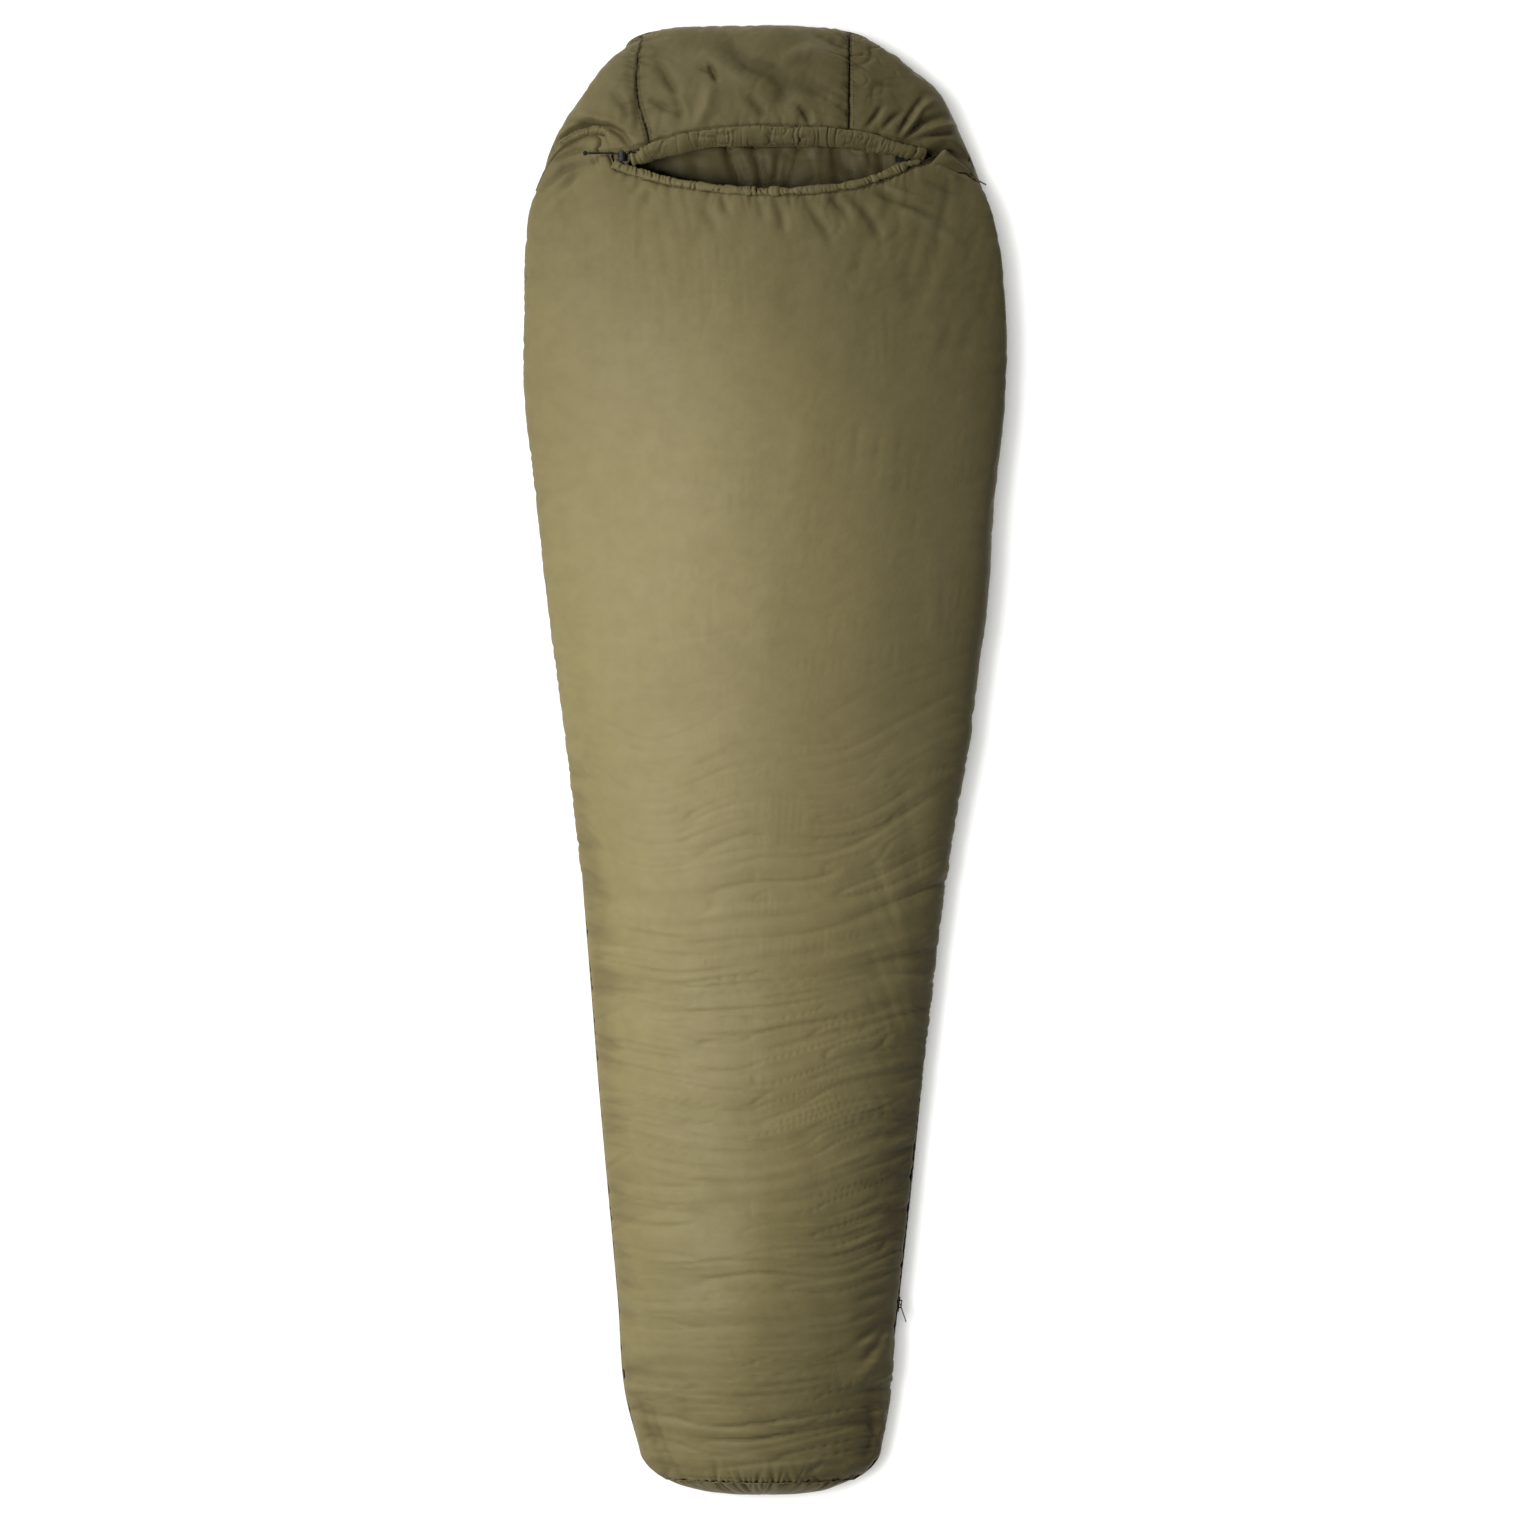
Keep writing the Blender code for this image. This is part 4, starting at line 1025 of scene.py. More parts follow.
def ridges(grid, pitch, seed):
    """Long soft folds that run along the bag, from 0 to 1, with sharp valleys between them."""
    bent = grid.copy()
    bent[..., 0] += 0.35 * (grid[..., 1] - 0.9) * noise(grid, (0.10, 0.3, 0.4), seed)
    bent[..., 0] += 0.02 * noise(grid, 0.06, seed + 3)
    first = abs(noise(bent, (pitch, 0.10, 0.5), seed + 1)) ** 0.6
    second = abs(noise(bent, (pitch * 0.55, 0.06, 0.5), seed + 2)) ** 0.7
    return first + 0.4 * second


def make_base_shell():
    places = np.concatenate([np.linspace(FOOT_PANEL_Y, 0.90, 330), [0.9075, NECK_Y]])
    grid = np.array([placed(base_section(min(y, 0.90), 100), y) for y in places])
    grid[-2:, :, 0] = grid[-3, :, 0]
    grid[-2:, :, 2] = grid[-3, :, 2]
    grid = finer(grid)
    right, left = upper_arcs(grid)
    low = smooth((0.004 - grid[..., 2]) / 0.004)
    height = -0.0040 * tucks(grid[..., 1] + 9.0, left, 0.024, 0.0040, 0.050, 31)
    height -= 0.0040 * tucks(grid[..., 1] + 11.0, right, 0.026, 0.0040, 0.045, 32)
    height += noise(grid, (0.07, 0.10, 0.1), 33) * 0.0016
    height += np.minimum(noise(grid, (0.05, 0.045, 0.1), 34), 0.0) * 0.0030
    from_foot = np.linalg.norm(grid - grid[:1], axis=2)
    height -= 0.0035 * tucks(grid[..., 0] + 2.0, from_foot, 0.0095, 0.0024, 0.018, 35)
    height -= 0.0018 * np.exp(-((np.minimum(left, right) / 0.005) ** 2))
    edge = smooth(np.minimum(left, right) / 0.003) * smooth(from_foot / 0.003)
    height = np.where(low > 0, np.minimum(height, 0.0012 * (1 - low)), height)
    moved = grid + normals_of(grid) * (height * edge)[..., None]
    moved[..., 2] = np.maximum(moved[..., 2], 0.0)
    return moved, height


def foot_grid():
    """The foot panel, from its gathered seam to its middle, as closed rings."""
    top = placed(upper_section(FOOT_BEND, 150), FOOT_BEND)
    under = placed(base_section(FOOT_BEND, 104), FOOT_BEND)[1:-1]
    loop = np.concatenate([top, under])
    edge = float(foot_scale(FOOT_PANEL_Y))
    centre = np.array([FOOT_CENTRE[0], 0.0, FOOT_CENTRE[1]])
    rings = []
    for share in np.linspace(0, 1, 34):
        scale = edge * (1 - share) ** 0.8
        y = FOOT_BEND - (1 - scale**3) ** 0.6 * (HALF_LENGTH + FOOT_BEND)
        ring = centre + (loop - centre) * max(scale, 0.012)
        ring[:, 1] = y
        rings.append(ring)
    return np.array(rings)


def make_foot():
    grid = foot_grid()
    grid = np.concatenate([grid, grid[:, :1]], 1)
    grid = finer(grid)[:, :-1]
    inward = np.linalg.norm(grid - grid[:1], axis=2)
    steps = np.linalg.norm(np.diff(grid[0], axis=0), axis=1)
    around = np.concatenate([[0], np.cumsum(steps)])[None, :] + 0 * inward
    height = -0.0038 * tucks(around, inward, 0.0088, 0.0022, 0.022, 41)
    height -= 0.0026 * tucks(around + 3.0, inward, 0.027, 0.0050, 0.050, 42)
    height += noise(grid, (0.04, 0.03, 0.03), 43) * 0.0018
    height *= smooth(inward / 0.003)
    out = -normals_of(grid, True)
    return (grid + out * height[..., None])[:, ::-1], height[:, ::-1]


# ---------------------------------------------------------------- hood

def hood_point(s, v, top, inside=False):
    """Points of the hood's upper or back wall; v is 0 at the neck and 1 at the head end."""
    turn = v * math.pi / 2
    along = np.sin(turn)
    inset = HOOD_INSET if inside else 0.0
    side_y = NECK_Y + (HOOD_CORNER_Y - NECK_Y) * along
    tucked = smooth((0.24 - s) / 0.10) + smooth((s - 0.87) / 0.08)
    if top:
        side_y = side_y - HOOD_TUCK * tucked * (1 - along)
    if top and not inside:
        inset = 0.007 * tucked * (1 - along)
    left, right = follow(OUTLINE, side_y, 1) + inset, follow(OUTLINE, side_y, 2) - inset
    bulge = np.sqrt(np.maximum(1 - abs(2 * s - 1) ** 4, 0))
    start_y = NECK_Y + GAP + (HOOD_RIM_BULGE * bulge if top else 0.0)
    if top and not inside:
        start_y = follow(HOOD_FRONT, left + (right - left) * s)
    if top and inside:
        start_y = start_y - HOOD_TUCK * tucked
    end_y = HOOD_CORNER_Y + (HALF_LENGTH - HOOD_CORNER_Y) * bulge - inset
    y = start_y + (end_y - start_y) * along
    across = np.maximum(1 - (2 * s - 1) ** 2, 0)
    if top:
        loft = HEM_LOFT + (HOOD_LOFT - HEM_LOFT) * smooth(v / 0.4)
        height = HOOD_HEIGHT - (loft if inside else 0.0)
        z = SEAM_HEIGHT + GAP / 2 + height * across**0.42 * np.maximum(np.cos(turn), 0.0) ** 0.6
        if not inside:
            z = z - 0.007 * tucked * smooth(1 - v / 0.22)
    else:
        depth = SEAM_HEIGHT - GAP / 2
        drop = depth - (HOOD_BACK_LOFT if inside else 0.0)
        z = depth - drop * np.sqrt(np.maximum((1 - abs(2 * s - 1) ** 8) * (1 - v**8), 0))
    return np.stack([left + (right - left) * s, y, z], -1)


HOOD_COLUMNS = (44, 84, 46)
HOOD_ROWS = 64


def hood_columns(v):
    along = math.sin(v * math.pi / 2)
    side_y = NECK_Y + (HOOD_CORNER_Y - NECK_Y) * along
    low, high = follow(OUTLINE, side_y, 1), follow(OUTLINE, side_y, 2)
    first = (HOOD_SEAM_LEFT[0] + (HOOD_SEAM_LEFT[1] - HOOD_SEAM_LEFT[0]) * along - low) / (high - low)
    second = (HOOD_SEAM_RIGHT[0] + (HOOD_SEAM_RIGHT[1] - HOOD_SEAM_RIGHT[0]) * along - low) / (high - low)
    left, middle, right = HOOD_COLUMNS
    return np.concatenate([
        first * (np.arange(left) / left) ** 1.5,
        first + (second - first) * np.arange(middle) / middle,
        1 - (1 - second) * (1 - np.arange(right + 1) / right) ** 1.5,
    ])


# Folds of the hood's panels, each a path on the level plane, its width and its height
HOOD_FOLDS = (
    (((-0.0825, 1.036), (-0.077, 1.024), (-0.071, 1.011)), 0.0046, -0.0062),
    (((-0.096, 1.030), (-0.078, 1.025)), 0.0040, -0.0030),
    (((-0.162, 1.048), (-0.1435, 1.013), (-0.1224, 0.971), (-0.127, 0.947)), 0.0085, -0.0044),
    (((-0.174, 0.9895), (-0.148, 0.971), (-0.120, 0.961)), 0.0065, -0.0032),
    (((-0.150, 0.998), (-0.126, 0.986), (-0.112, 0.952)), 0.0070, 0.0032),
    (((-0.064, 1.074), (-0.026, 1.036), (0.011, 1.025), (0.030, 1.003), (0.021, 0.970)), 0.0150, -0.0056),
    (((-0.100, 1.056), (-0.070, 1.040), (-0.036, 1.016), (-0.010, 1.006)), 0.0110, 0.0042),
    (((-0.0825, 1.004), (-0.087, 0.971), (-0.106, 0.940)), 0.0100, 0.0042),
    (((-0.026, 0.990), (-0.007, 0.971), (0.000, 0.952)), 0.0080, -0.0032),
    (((0.049, 0.975), (0.063, 0.958), (0.068, 0.945)), 0.0060, -0.0040),
    (((0.021, 1.046), (0.068, 1.055), (0.114, 1.041)), 0.0120, 0.0040),
    (((0.068, 1.090), (0.100, 1.074), (0.122, 1.064)), 0.0075, -0.0032),
    (((0.040, 1.010), (0.074, 0.996), (0.100, 0.990)), 0.0120, -0.0030),
    (((0.206, 0.924), (0.236, 0.952), (0.268, 0.962)), 0.0050, -0.0048),
    (((0.212, 0.920), (0.244, 0.934), (0.282, 0.938)), 0.0055, -0.0046),
    (((0.198, 0.930), (0.222, 0.966), (0.238, 0.992)), 0.0055, -0.0044),
    (((0.150, 0.940), (0.168, 0.962), (0.176, 0.976)), 0.0048, -0.0034),
    (((0.174, 0.938), (0.190, 0.956), (0.206, 0.966)), 0.0045, -0.0034),
    (((0.224, 0.926), (0.256, 0.944), (0.286, 0.950)), 0.0050, 0.0040),
    (((0.210, 0.936), (0.232, 0.972), (0.252, 0.984)), 0.0055, 0.0042),
    (((-0.288, 0.956), (-0.262, 0.947), (-0.232, 0.944), (-0.214, 0.932), (-0.200, 0.912)), 0.0055, -0.0075),
    (((-0.282, 0.966), (-0.250, 0.956), (-0.222, 0.950)), 0.0070, 0.0045),
    (((-0.232, 1.000), (-0.210, 0.976), (-0.204, 0.950)), 0.0075, -0.0030),
    (((-0.196, 0.990), (-0.190, 0.960), (-0.192, 0.936)), 0.0060, -0.0030),
)


def shoulder_height(x, y):
    """Height of the upper wall near the shoulders, for whole arrays of places."""
    places = np.linspace(0.86, 0.95, 10)
    rows = []
    for place in places:
        section = upper_section(place, 260)
        order = top_part(section)
        rows.append(np.interp(x, section[order, 0], section[order, 1]))
    k = np.clip((y - places[0]) / (places[1] - places[0]), 0, len(places) - 1.001)
    low = np.floor(k).astype(int)
    rows = np.array(rows)
    near = np.take_along_axis(rows, low[None], 0)[0]
    return near + (k - low) * (np.take_along_axis(rows, low[None] + 1, 0)[0] - near)


def make_hood_top():
    v = np.linspace(0, 1, HOOD_ROWS)
    grid = np.array([hood_point(hood_columns(k), k, True) for k in v])
    first, second = HOOD_COLUMNS[0], HOOD_COLUMNS[0] + HOOD_COLUMNS[1]
    x, y = grid[..., 0], grid[..., 1]
    crown = noise(grid, (0.07, 0.06, 0.1), 51) * 0.0040 + noise(grid, (0.03, 0.035, 0.1), 52) * 0.0018
    row = np.arange(HOOD_ROWS)[:, None]
    inner = smooth(row / 8.0) * smooth((HOOD_ROWS - 1 - row) / 10.0)
    panel = np.minimum.reduce([
        abs(np.arange(grid.shape[1]) - first), abs(np.arange(grid.shape[1]) - second),
        np.arange(grid.shape[1]), grid.shape[1] - 1 - np.arange(grid.shape[1]),
    ])[None, :]
    crown = crown * inner * smooth(panel / 7.0)
    grid = grid + normals_of(grid) * crown[..., None]
    middle = np.array([0.0, 1.0, 0.05])
    rest = middle + (grid - middle) * 1.045
    hold = np.full(x.shape, 0.04)
    hold[0] = hold[-1] = 1.0
    hold[:, [0, first, second, -1]] = 1.0
    ruffled = grid + normals_of(grid) * (noise(grid, 0.010, 53) * 0.0006)[..., None]
    settled = settle(ruffled, rest, hold, 16, 1.2, 0.009)
    flat, grid = finer(grid), finer(settled)
    relief = ((grid - flat) * normals_of(flat)).sum(2)
    rows = distances(flat[:, 2 * first])
    rim = np.linalg.norm(flat - flat[:1], axis=2)
    end = np.linalg.norm(flat - flat[-1:], axis=2)
    height = np.zeros(rim.shape)
    for seed, column in ((61, 2 * first), (62, 2 * second)):
        away = np.linalg.norm(flat - flat[:, column : column + 1], axis=2)
        side = np.sign(np.arange(flat.shape[1]) - column)[None, :]
        along = rows[:, None] + 0.35 * side * away
        for lean, offset in ((1, 2.0), (-1, 5.0)):
            here = smooth(0.5 + side * lean)
            height -= 0.0034 * here * tucks(along + offset, away, 0.0092, 0.0017, 0.026, seed + 4 * lean)
            height -= 0.0022 * here * tucks(along + offset, away, 0.027, 0.0036, 0.045, seed + 8 * lean)
        height -= 0.0038 * np.exp(-((away / 0.0026) ** 2))
        height -= 0.0024 * np.exp(-((away / 0.014) ** 2))
    height -= 0.0018 * tucks(flat[..., 0] + 2.0, rim, 0.019, 0.0022, 0.014, 71, 0.4)
    height -= 0.0012 * tucks(flat[..., 0] + 4.0, rim, 0.061, 0.0060, 0.034, 72, 0.5)
    around = distances(flat[-1])[None, :]
    height -= 0.0032 * tucks(around + 2.0, end, 0.016, 0.0032, 0.026, 73)
    height -= 0.0040 * np.exp(-((rim / 0.005) ** 2))
    for path, width, depth in HOOD_FOLDS:
        height += fold(flat, path, width, depth * 1.35)
    height += crumples(flat, 0.038, 0.0022, 55)
    edge = smooth(end / 0.004) * fade_ends(flat.shape[1], 4.0)
    grid = grid + normals_of(grid) * (height * edge)[..., None]
    # The hood's sides pass under the shoulders
    under = smooth((head_edge_y(flat[..., 0]) + 0.018 - flat[..., 1]) / 0.018)
    below = np.minimum(grid[..., 2], shoulder_height(flat[..., 0], flat[..., 1]) - 0.006)
    grid[..., 2] += under * (below - grid[..., 2])
    return grid, relief + height, (2 * first, 2 * second)


def make_hood_back():
    s = np.linspace(1, 0, 110)
    v = np.linspace(0, 1, 50)
    grid = finer(np.array([hood_point(s, k, False) for k in v]))
    edge = np.minimum.reduce([
        np.linalg.norm(grid - grid[:, :1], axis=2), np.linalg.norm(grid - grid[:, -1:], axis=2),
        np.linalg.norm(grid - grid[-1:], axis=2),
    ])
    around = grid[..., 0] + grid[..., 1]
    height = -0.0034 * tucks(around + 3.0, edge, 0.018, 0.0034, 0.026, 81)
    height -= 0.0015 * np.exp(-((edge / 0.005) ** 2))
    height += np.minimum(noise(grid, (0.05, 0.045, 0.1), 82), 0.0) * 0.0030
    height *= smooth(edge / 0.003)
    moved = grid + normals_of(grid) * height[..., None]
    moved[..., 2] = np.maximum(moved[..., 2], 0.0)
    return moved, height


# ---------------------------------------------------------------- rim and collar tunnels

def rim_edge(x):
    left, right = follow(OUTLINE, NECK_Y, 1), follow(OUTLINE, NECK_Y, 2)
    s = (x - left) / (right - left)
    outer, inner = hood_point(s, np.float64(0), True), hood_point(s, np.float64(0), True, True)
    return outer[..., 1], (outer[..., 2] + inner[..., 2]) / 2


def rim_path(start, end, count):
    x = np.linspace(start, end, count)
    return np.stack([x, follow(RIM_LINE, x), rim_edge(x)[1]], 1)


def gathered_tube(path, sides, wide, high, pleats, seed, tilt=0.0):
    """Rings round a path, drawn up in pleats: each (pitch, width, depth)."""
    plain = tube_grid(path, sides, wide, high, tilt=tilt)
    lengths = distances(path)
    turns = np.linspace(0, 2 * math.pi, sides, endpoint=False)[None, :]
    # A pleat leans and wanders as it goes round, so each one is offset by a wave of its own
    along = lengths[:, None] + 0.0022 * np.sin(turns + 3.0 * noise(plain, 0.03, seed))
    away = 0.012 * (1 + np.sin(2 * turns + 6 * noise(plain, 0.05, seed + 1)))
    height = np.zeros(plain.shape[:2])
    for k, (pitch, width, depth) in enumerate(pleats):
        height -= depth * tucks(along + 3.0 * k, away + 0 * along, pitch, width, 0.035, seed + 2 + k, 0.15)
    height *= 0.62 + 0.75 * noise(plain, (0.021, 0.05, 0.05), seed + 6)
    height += 0.0013 * noise(plain, (0.012, 0.03, 0.03), seed + 7)
    out = normals_of(plain, True)
    centre = path[:, None]
    if ((plain - centre) * out).sum() < 0:
        out = -out
    return plain + out * height[..., None], height


def make_rim():
    path = rim_path(RIM_ENDS[0], RIM_ENDS[1], 420)
    x = path[:, 0]
    bunched = smooth((abs(x) - 0.15) / 0.05)[:, None]
    wide = 0.0160 - 0.0048 * bunched + 0.0008 * noise(path, 0.03, 94)[:, None]
    high = 0.0042 + 0.0040 * bunched
    wide_pleats = ((0.029, 0.0011, 0.0052), (0.0125, 0.0008, 0.0022))
    tight_pleats = ((0.0085, 0.0018, 0.0074), (0.0056, 0.0011, 0.0030))
    shape, height = gathered_tube(path, 40, wide, high, wide_pleats, 91, 0.56)
    ends = gathered_tube(path, 40, wide, high, tight_pleats, 101, 0.5)[0]
    shape = shape + normals_of(shape, True) * crumples(shape, 0.016, 0.0016, 97)[..., None]
    mixed = bunched[..., None]
    return shape * (1 - mixed) + ends * mixed, height


def section_height(x, y):
    """Height of the upper wall's outer surface over a place on the level plane."""
    section = upper_section(y, 260)
    order = top_part(section)
    return float(np.interp(x, section[order, 0], section[order, 1]))


def collar_path(count):
    x = np.linspace(COLLAR_ENDS[0], COLLAR_ENDS[1], count)
    path = []
    for place in x:
        edge = float(head_edge_y(np.clip(place, -0.216, 0.240)))
        edge += 0.006 * float(smooth((-place - 0.212) / 0.02))
        path.append((place, edge + 0.0012, section_height(place, edge) - 0.0040))
    path = np.array(path)
    for _ in range(30):
        path[1:-1, 1:] = 0.5 * path[1:-1, 1:] + 0.25 * (path[:-2, 1:] + path[2:, 1:])
    return path


def make_collar():
    path = collar_path(420)
    return gathered_tube(
        path, 28, COLLAR_RADIUS * (1.10 + 0.22 * noise(path, 0.011, 113)[:, None]),
        COLLAR_RADIUS * (0.66 + 0.14 * noise(path, 0.008, 114)[:, None]),
        ((0.0070, 0.0010, 0.0042), (0.0150, 0.0016, 0.0046)), 111, -0.30,
    )


# ---------------------------------------------------------------- linings

def soft_gathers(grid, height, seed):
    """Long folds of slack lining that hang along the bag, as an offset of the grid."""
    return height * (ridges(grid, 0.034, seed) - 0.5)


def make_lining_upper():
    near_hem = np.linspace(HEAD_START, HEM_Y - 0.004, 16)[1:]
    ys = np.concatenate([np.linspace(-1.045, HEAD_START, 150), near_hem])
    grid = np.array([placed(upper_section(max(y, FOOT_BEND), 90, True), y) for y in ys])
    out = -normals_of(grid)
    height = noise(grid, (0.05, 0.16, 0.1), 121) * 0.003 + soft_gathers(grid, 0.004, 122)
    edge = fade_ends(90, 6.0)
    return (grid + out * (height * edge)[..., None])[:, ::-1], height[:, ::-1]


def make_lining_base():
    near_neck = np.linspace(0.70, NECK_Y, 60)[1:]
    ys = np.concatenate([np.linspace(-1.045, 0.70, 120), near_neck, [0.9170, 0.9210, 0.9250]])
    grid = np.array([placed(base_section(min(max(y, FOOT_BEND), 0.90), 160, True), y) for y in ys])
    meeting = hood_point(np.linspace(0, 1, 200), 0.0, False, True)
    for row, y in enumerate(ys):
        share = float(smooth((y - 0.82) / (NECK_Y - 0.82)))
        wanted = np.interp(grid[row, :, 0], meeting[:, 0], meeting[:, 2])
        grid[row, :, 2] += share * (wanted - grid[row, :, 2]) - 0.0018 * float(smooth((y - 0.917) / 0.008))
    return lining_floor(grid)


def lining_floor(grid):
    near_face = smooth((grid[..., 1] - 0.70) / 0.10)
    height = soft_gathers(grid, 0.006 + 0.007 * near_face, 131)
    height += noise(grid, (0.05, 0.09, 0.1), 132) * 0.003
    height += crumples(grid, 0.045, 0.0030, 133)
    x = grid[..., 0]
    away = np.minimum(x - x.min(1, keepdims=True), x.max(1, keepdims=True) - x)
    height *= smooth(away / 0.05)
    grid = grid.copy()
    grid[..., 2] += height
    return grid[:, ::-1], height[:, ::-1]


def make_lining_hood_back():
    s = np.linspace(1, 0, 160)
    grid = np.array([hood_point(s, k, False, True) for k in np.linspace(0, 0.995, 60)])
    grid[..., 2] -= 0.0016 * (1 - smooth((grid[..., 1] - NECK_Y) / 0.012))
    return lining_floor(grid)


def make_lining_hood_top():
    s = 0.5 - 0.5 * np.cos(np.linspace(0, math.pi, 120))
    grid = np.array([hood_point(s, k, True, True) for k in np.linspace(0, 1, 44)])
    height = noise(grid, (0.04, 0.05, 0.1), 141) * 0.003
    rim = np.linalg.norm(grid - grid[:1], axis=2)
    height -= 0.003 * tucks(grid[..., 0] + 2.0, rim, 0.016, 0.003, 0.03, 142)
    edge = fade_ends(120, 6.0)
    return (grid + normals_of(grid) * (height * edge)[..., None])[:, ::-1], height[:, ::-1]


def make_lining_foot():
    top = placed(upper_section(FOOT_BEND, 70, True), FOOT_BEND)
    under = placed(base_section(FOOT_BEND, 52, True), FOOT_BEND)[1:-1]
    loop = np.concatenate([top, under])
    centre = np.array([FOOT_CENTRE[0], 0.0, FOOT_CENTRE[1]])
    rings = []
    for share in np.linspace(0, 1, 16):
        ring = centre + (loop - centre) * max(1 - share, 0.02)
        ring[:, 1] = -1.047 - 0.008 * smooth(share * 2)
        rings.append(ring)
    grid = np.array(rings)
    return grid, 0.002 * noise(grid, 0.03, 151)


# ---------------------------------------------------------------- trims

def make_shoulder_band():
    """The double-stitched tape over the seam between the left shoulder and the hood."""
    x = np.linspace(-0.306, -0.204, 150)
    y = follow(BAND_LINE, x)
    path = []
    for a, b in zip(x, y):
        sunk = 0.0010 + 0.004 * float(smooth((a + 0.24) / 0.03))
        path.append((a, b - 0.002, section_height(a, b) - sunk))
    path = np.array(path)
    for _ in range(20):
        path[1:-1] = 0.5 * path[1:-1] + 0.25 * (path[:-2] + path[2:])
    path = even(path, 260)
    pleats = ((0.0052, 0.0011, 0.0016), (0.014, 0.0022, 0.0022))
    return gathered_tube(path, 24, 0.0062, 0.0036, pleats, 161), path


def make_garage():
    """The flap over the top of the zip, which comes to a point at the hood's seam."""
    rows, columns = 44, 40
    grid, lift = [], []
    for r in np.linspace(0, 1, rows):
        y = 0.880 + (0.9115 - 0.880) * r
        section = upper_section(y, 400)
        arcs = distances(section)
        order = top_part(section)
        start = np.interp(0.238 + 0.028 * r, section[order, 0], arcs[order])
        length = 0.078 - 0.071 * r
        places = np.minimum(start + length * np.linspace(0, 1, columns), arcs[-1] - 0.004)
        x, z = np.interp(places, arcs, section[:, 0]), np.interp(places, arcs, section[:, 1])
        grid.append(np.stack([x, np.full(columns, y), z], 1))
        across = np.sin(np.linspace(0.0, 1.0, columns) * math.pi) ** 0.6
        lift.append((0.0062 * across - 0.0026) * smooth(r * 2.0) - 0.0036 * (1 - smooth(r * 2.0)))
    grid, lift = np.array(grid), np.array(lift)
    lift += 0.0008 * noise(grid, (0.014, 0.02, 0.02), 181)
    return grid + normals_of(grid) * lift[..., None]


def arc_points(ys, z, offset=0.0):
    angle = np.arcsin((ys - ZIP_CENTRE[1]) / ZIP_RADIUS)
    radius = ZIP_RADIUS + offset
    x = ZIP_CENTRE[0] + radius * np.cos(angle)
    y = ZIP_CENTRE[1] + radius * np.sin(angle)
    return np.stack([x, y, np.full(len(ys), z)], 1)


def make_tape(name, low, high):
    """One side's tape: its outer edge lies under the shell's edge, and its inner edge behind the coil."""
    ys = np.linspace(ZIP_BOTTOM[1], ZIP_TOP[1], 601)
    rows = []
    for z in np.linspace(low, high, 7):
        behind = 0.0022 * smooth((0.0042 - abs(z)) / 0.0012) + 0.0030 * smooth((abs(z) - 0.0080) / 0.0030)
        rows.append(arc_points(ys, SEAM_HEIGHT + z, TAPE_OFFSET - behind))
    outer = np.stack(rows, 1)
    ribs = 0.00018 * np.sin(np.arange(601) * 1.3)[:, None, None] * np.array([1.0, 0.0, 0.0])
    return cloth_piece(name, outer + ribs, TAPE_LOOK, skin=0.0012)


def make_coil(name, sign):
    """One side of the zip's coil: small loops that reach past the middle to lock with the others."""
    pitch = 0.0030
    ys = np.arange(ZIP_BOTTOM[1] + 0.007, ZIP_TOP[1] - 0.005, pitch) + (pitch / 2 if sign > 0 else 0)
    middles = arc_points(ys, SEAM_HEIGHT)
    profile = []
    for turn in np.linspace(0, 2 * math.pi, 8, endpoint=False):
        profile.append((0.0011 * math.cos(turn), 0.00085 * math.sin(turn)))
    points, faces = [], []
    for middle in middles:
        first = len(points)
        for height, size in ((-0.0004, 0.55), (0.0002, 1.0), (0.0030, 1.0), (0.0036, 0.7)):
            for across, along in profile:
                offset = np.array((across * size, along * size, sign * height))
                points.append(middle + offset)
        for r in range(3):
            for k in range(8):
                j = (k + 1) % 8
                face = (first + 8 * r + k, first + 8 * r + j, first + 8 * r + 8 + j, first + 8 * r + 8 + k)
                faces.append(face if sign > 0 else face[::-1])
        bottom, top = tuple(range(first, first + 8)), tuple(range(first + 24, first + 32))
        faces.append(bottom[::-1] if sign > 0 else bottom)
        faces.append(top if sign > 0 else top[::-1])
    return link(name, mesh_of(points, faces), COIL_LOOK)


def make_draft_tube():
    """The padded tube that lies inside, along the zip."""
    ys = np.linspace(-0.895, 0.845, 520)
    low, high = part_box("zip_draft_tube")
    x = zip_x(ys) - 0.026
    z = 0.066 + 0.021 * smooth((ys + 0.2) / 0.8)
    path = np.stack([x, ys, z], 1)
    path[:, 0] = np.clip(path[:, 0], low[0] + 0.009, high[0] - 0.009)
    return gathered_tube(path, 20, 0.0085, 0.0085, ((0.022, 0.0032, 0.0030), (0.06, 0.006, 0.002)), 191)


def make_drawcord():
    """A braided cord from the knot, through the cord lock and on into the rim tunnel."""
    x = np.linspace(TAIL_END, LOCK_AT[0] + 0.010, 90)
    tail = np.stack([x, np.full(90, LOCK_AT[1]), np.full(90, LOCK_AT[2])], 1)
    rim = rim_path(-0.175, 0.215, 330)
    count = 40
    t = np.linspace(0, 1, count + 2)[1:-1, None]
    bridge = tail[-1] + (rim[0] - tail[-1]) * t
    path = np.concatenate([tail, bridge, rim])
    turns = np.linspace(0, 2 * math.pi, 12, endpoint=False)[None, :]
    lengths = distances(path)[:, None]
    braid = 0.00010 * (np.sin(3 * turns + lengths * 2600) + np.sin(3 * turns - lengths * 2600))
    return solid_tube("drawcord", tube_grid(path, 12, CORD_RADIUS + braid, CORD_RADIUS + braid), CORD_LOOK)


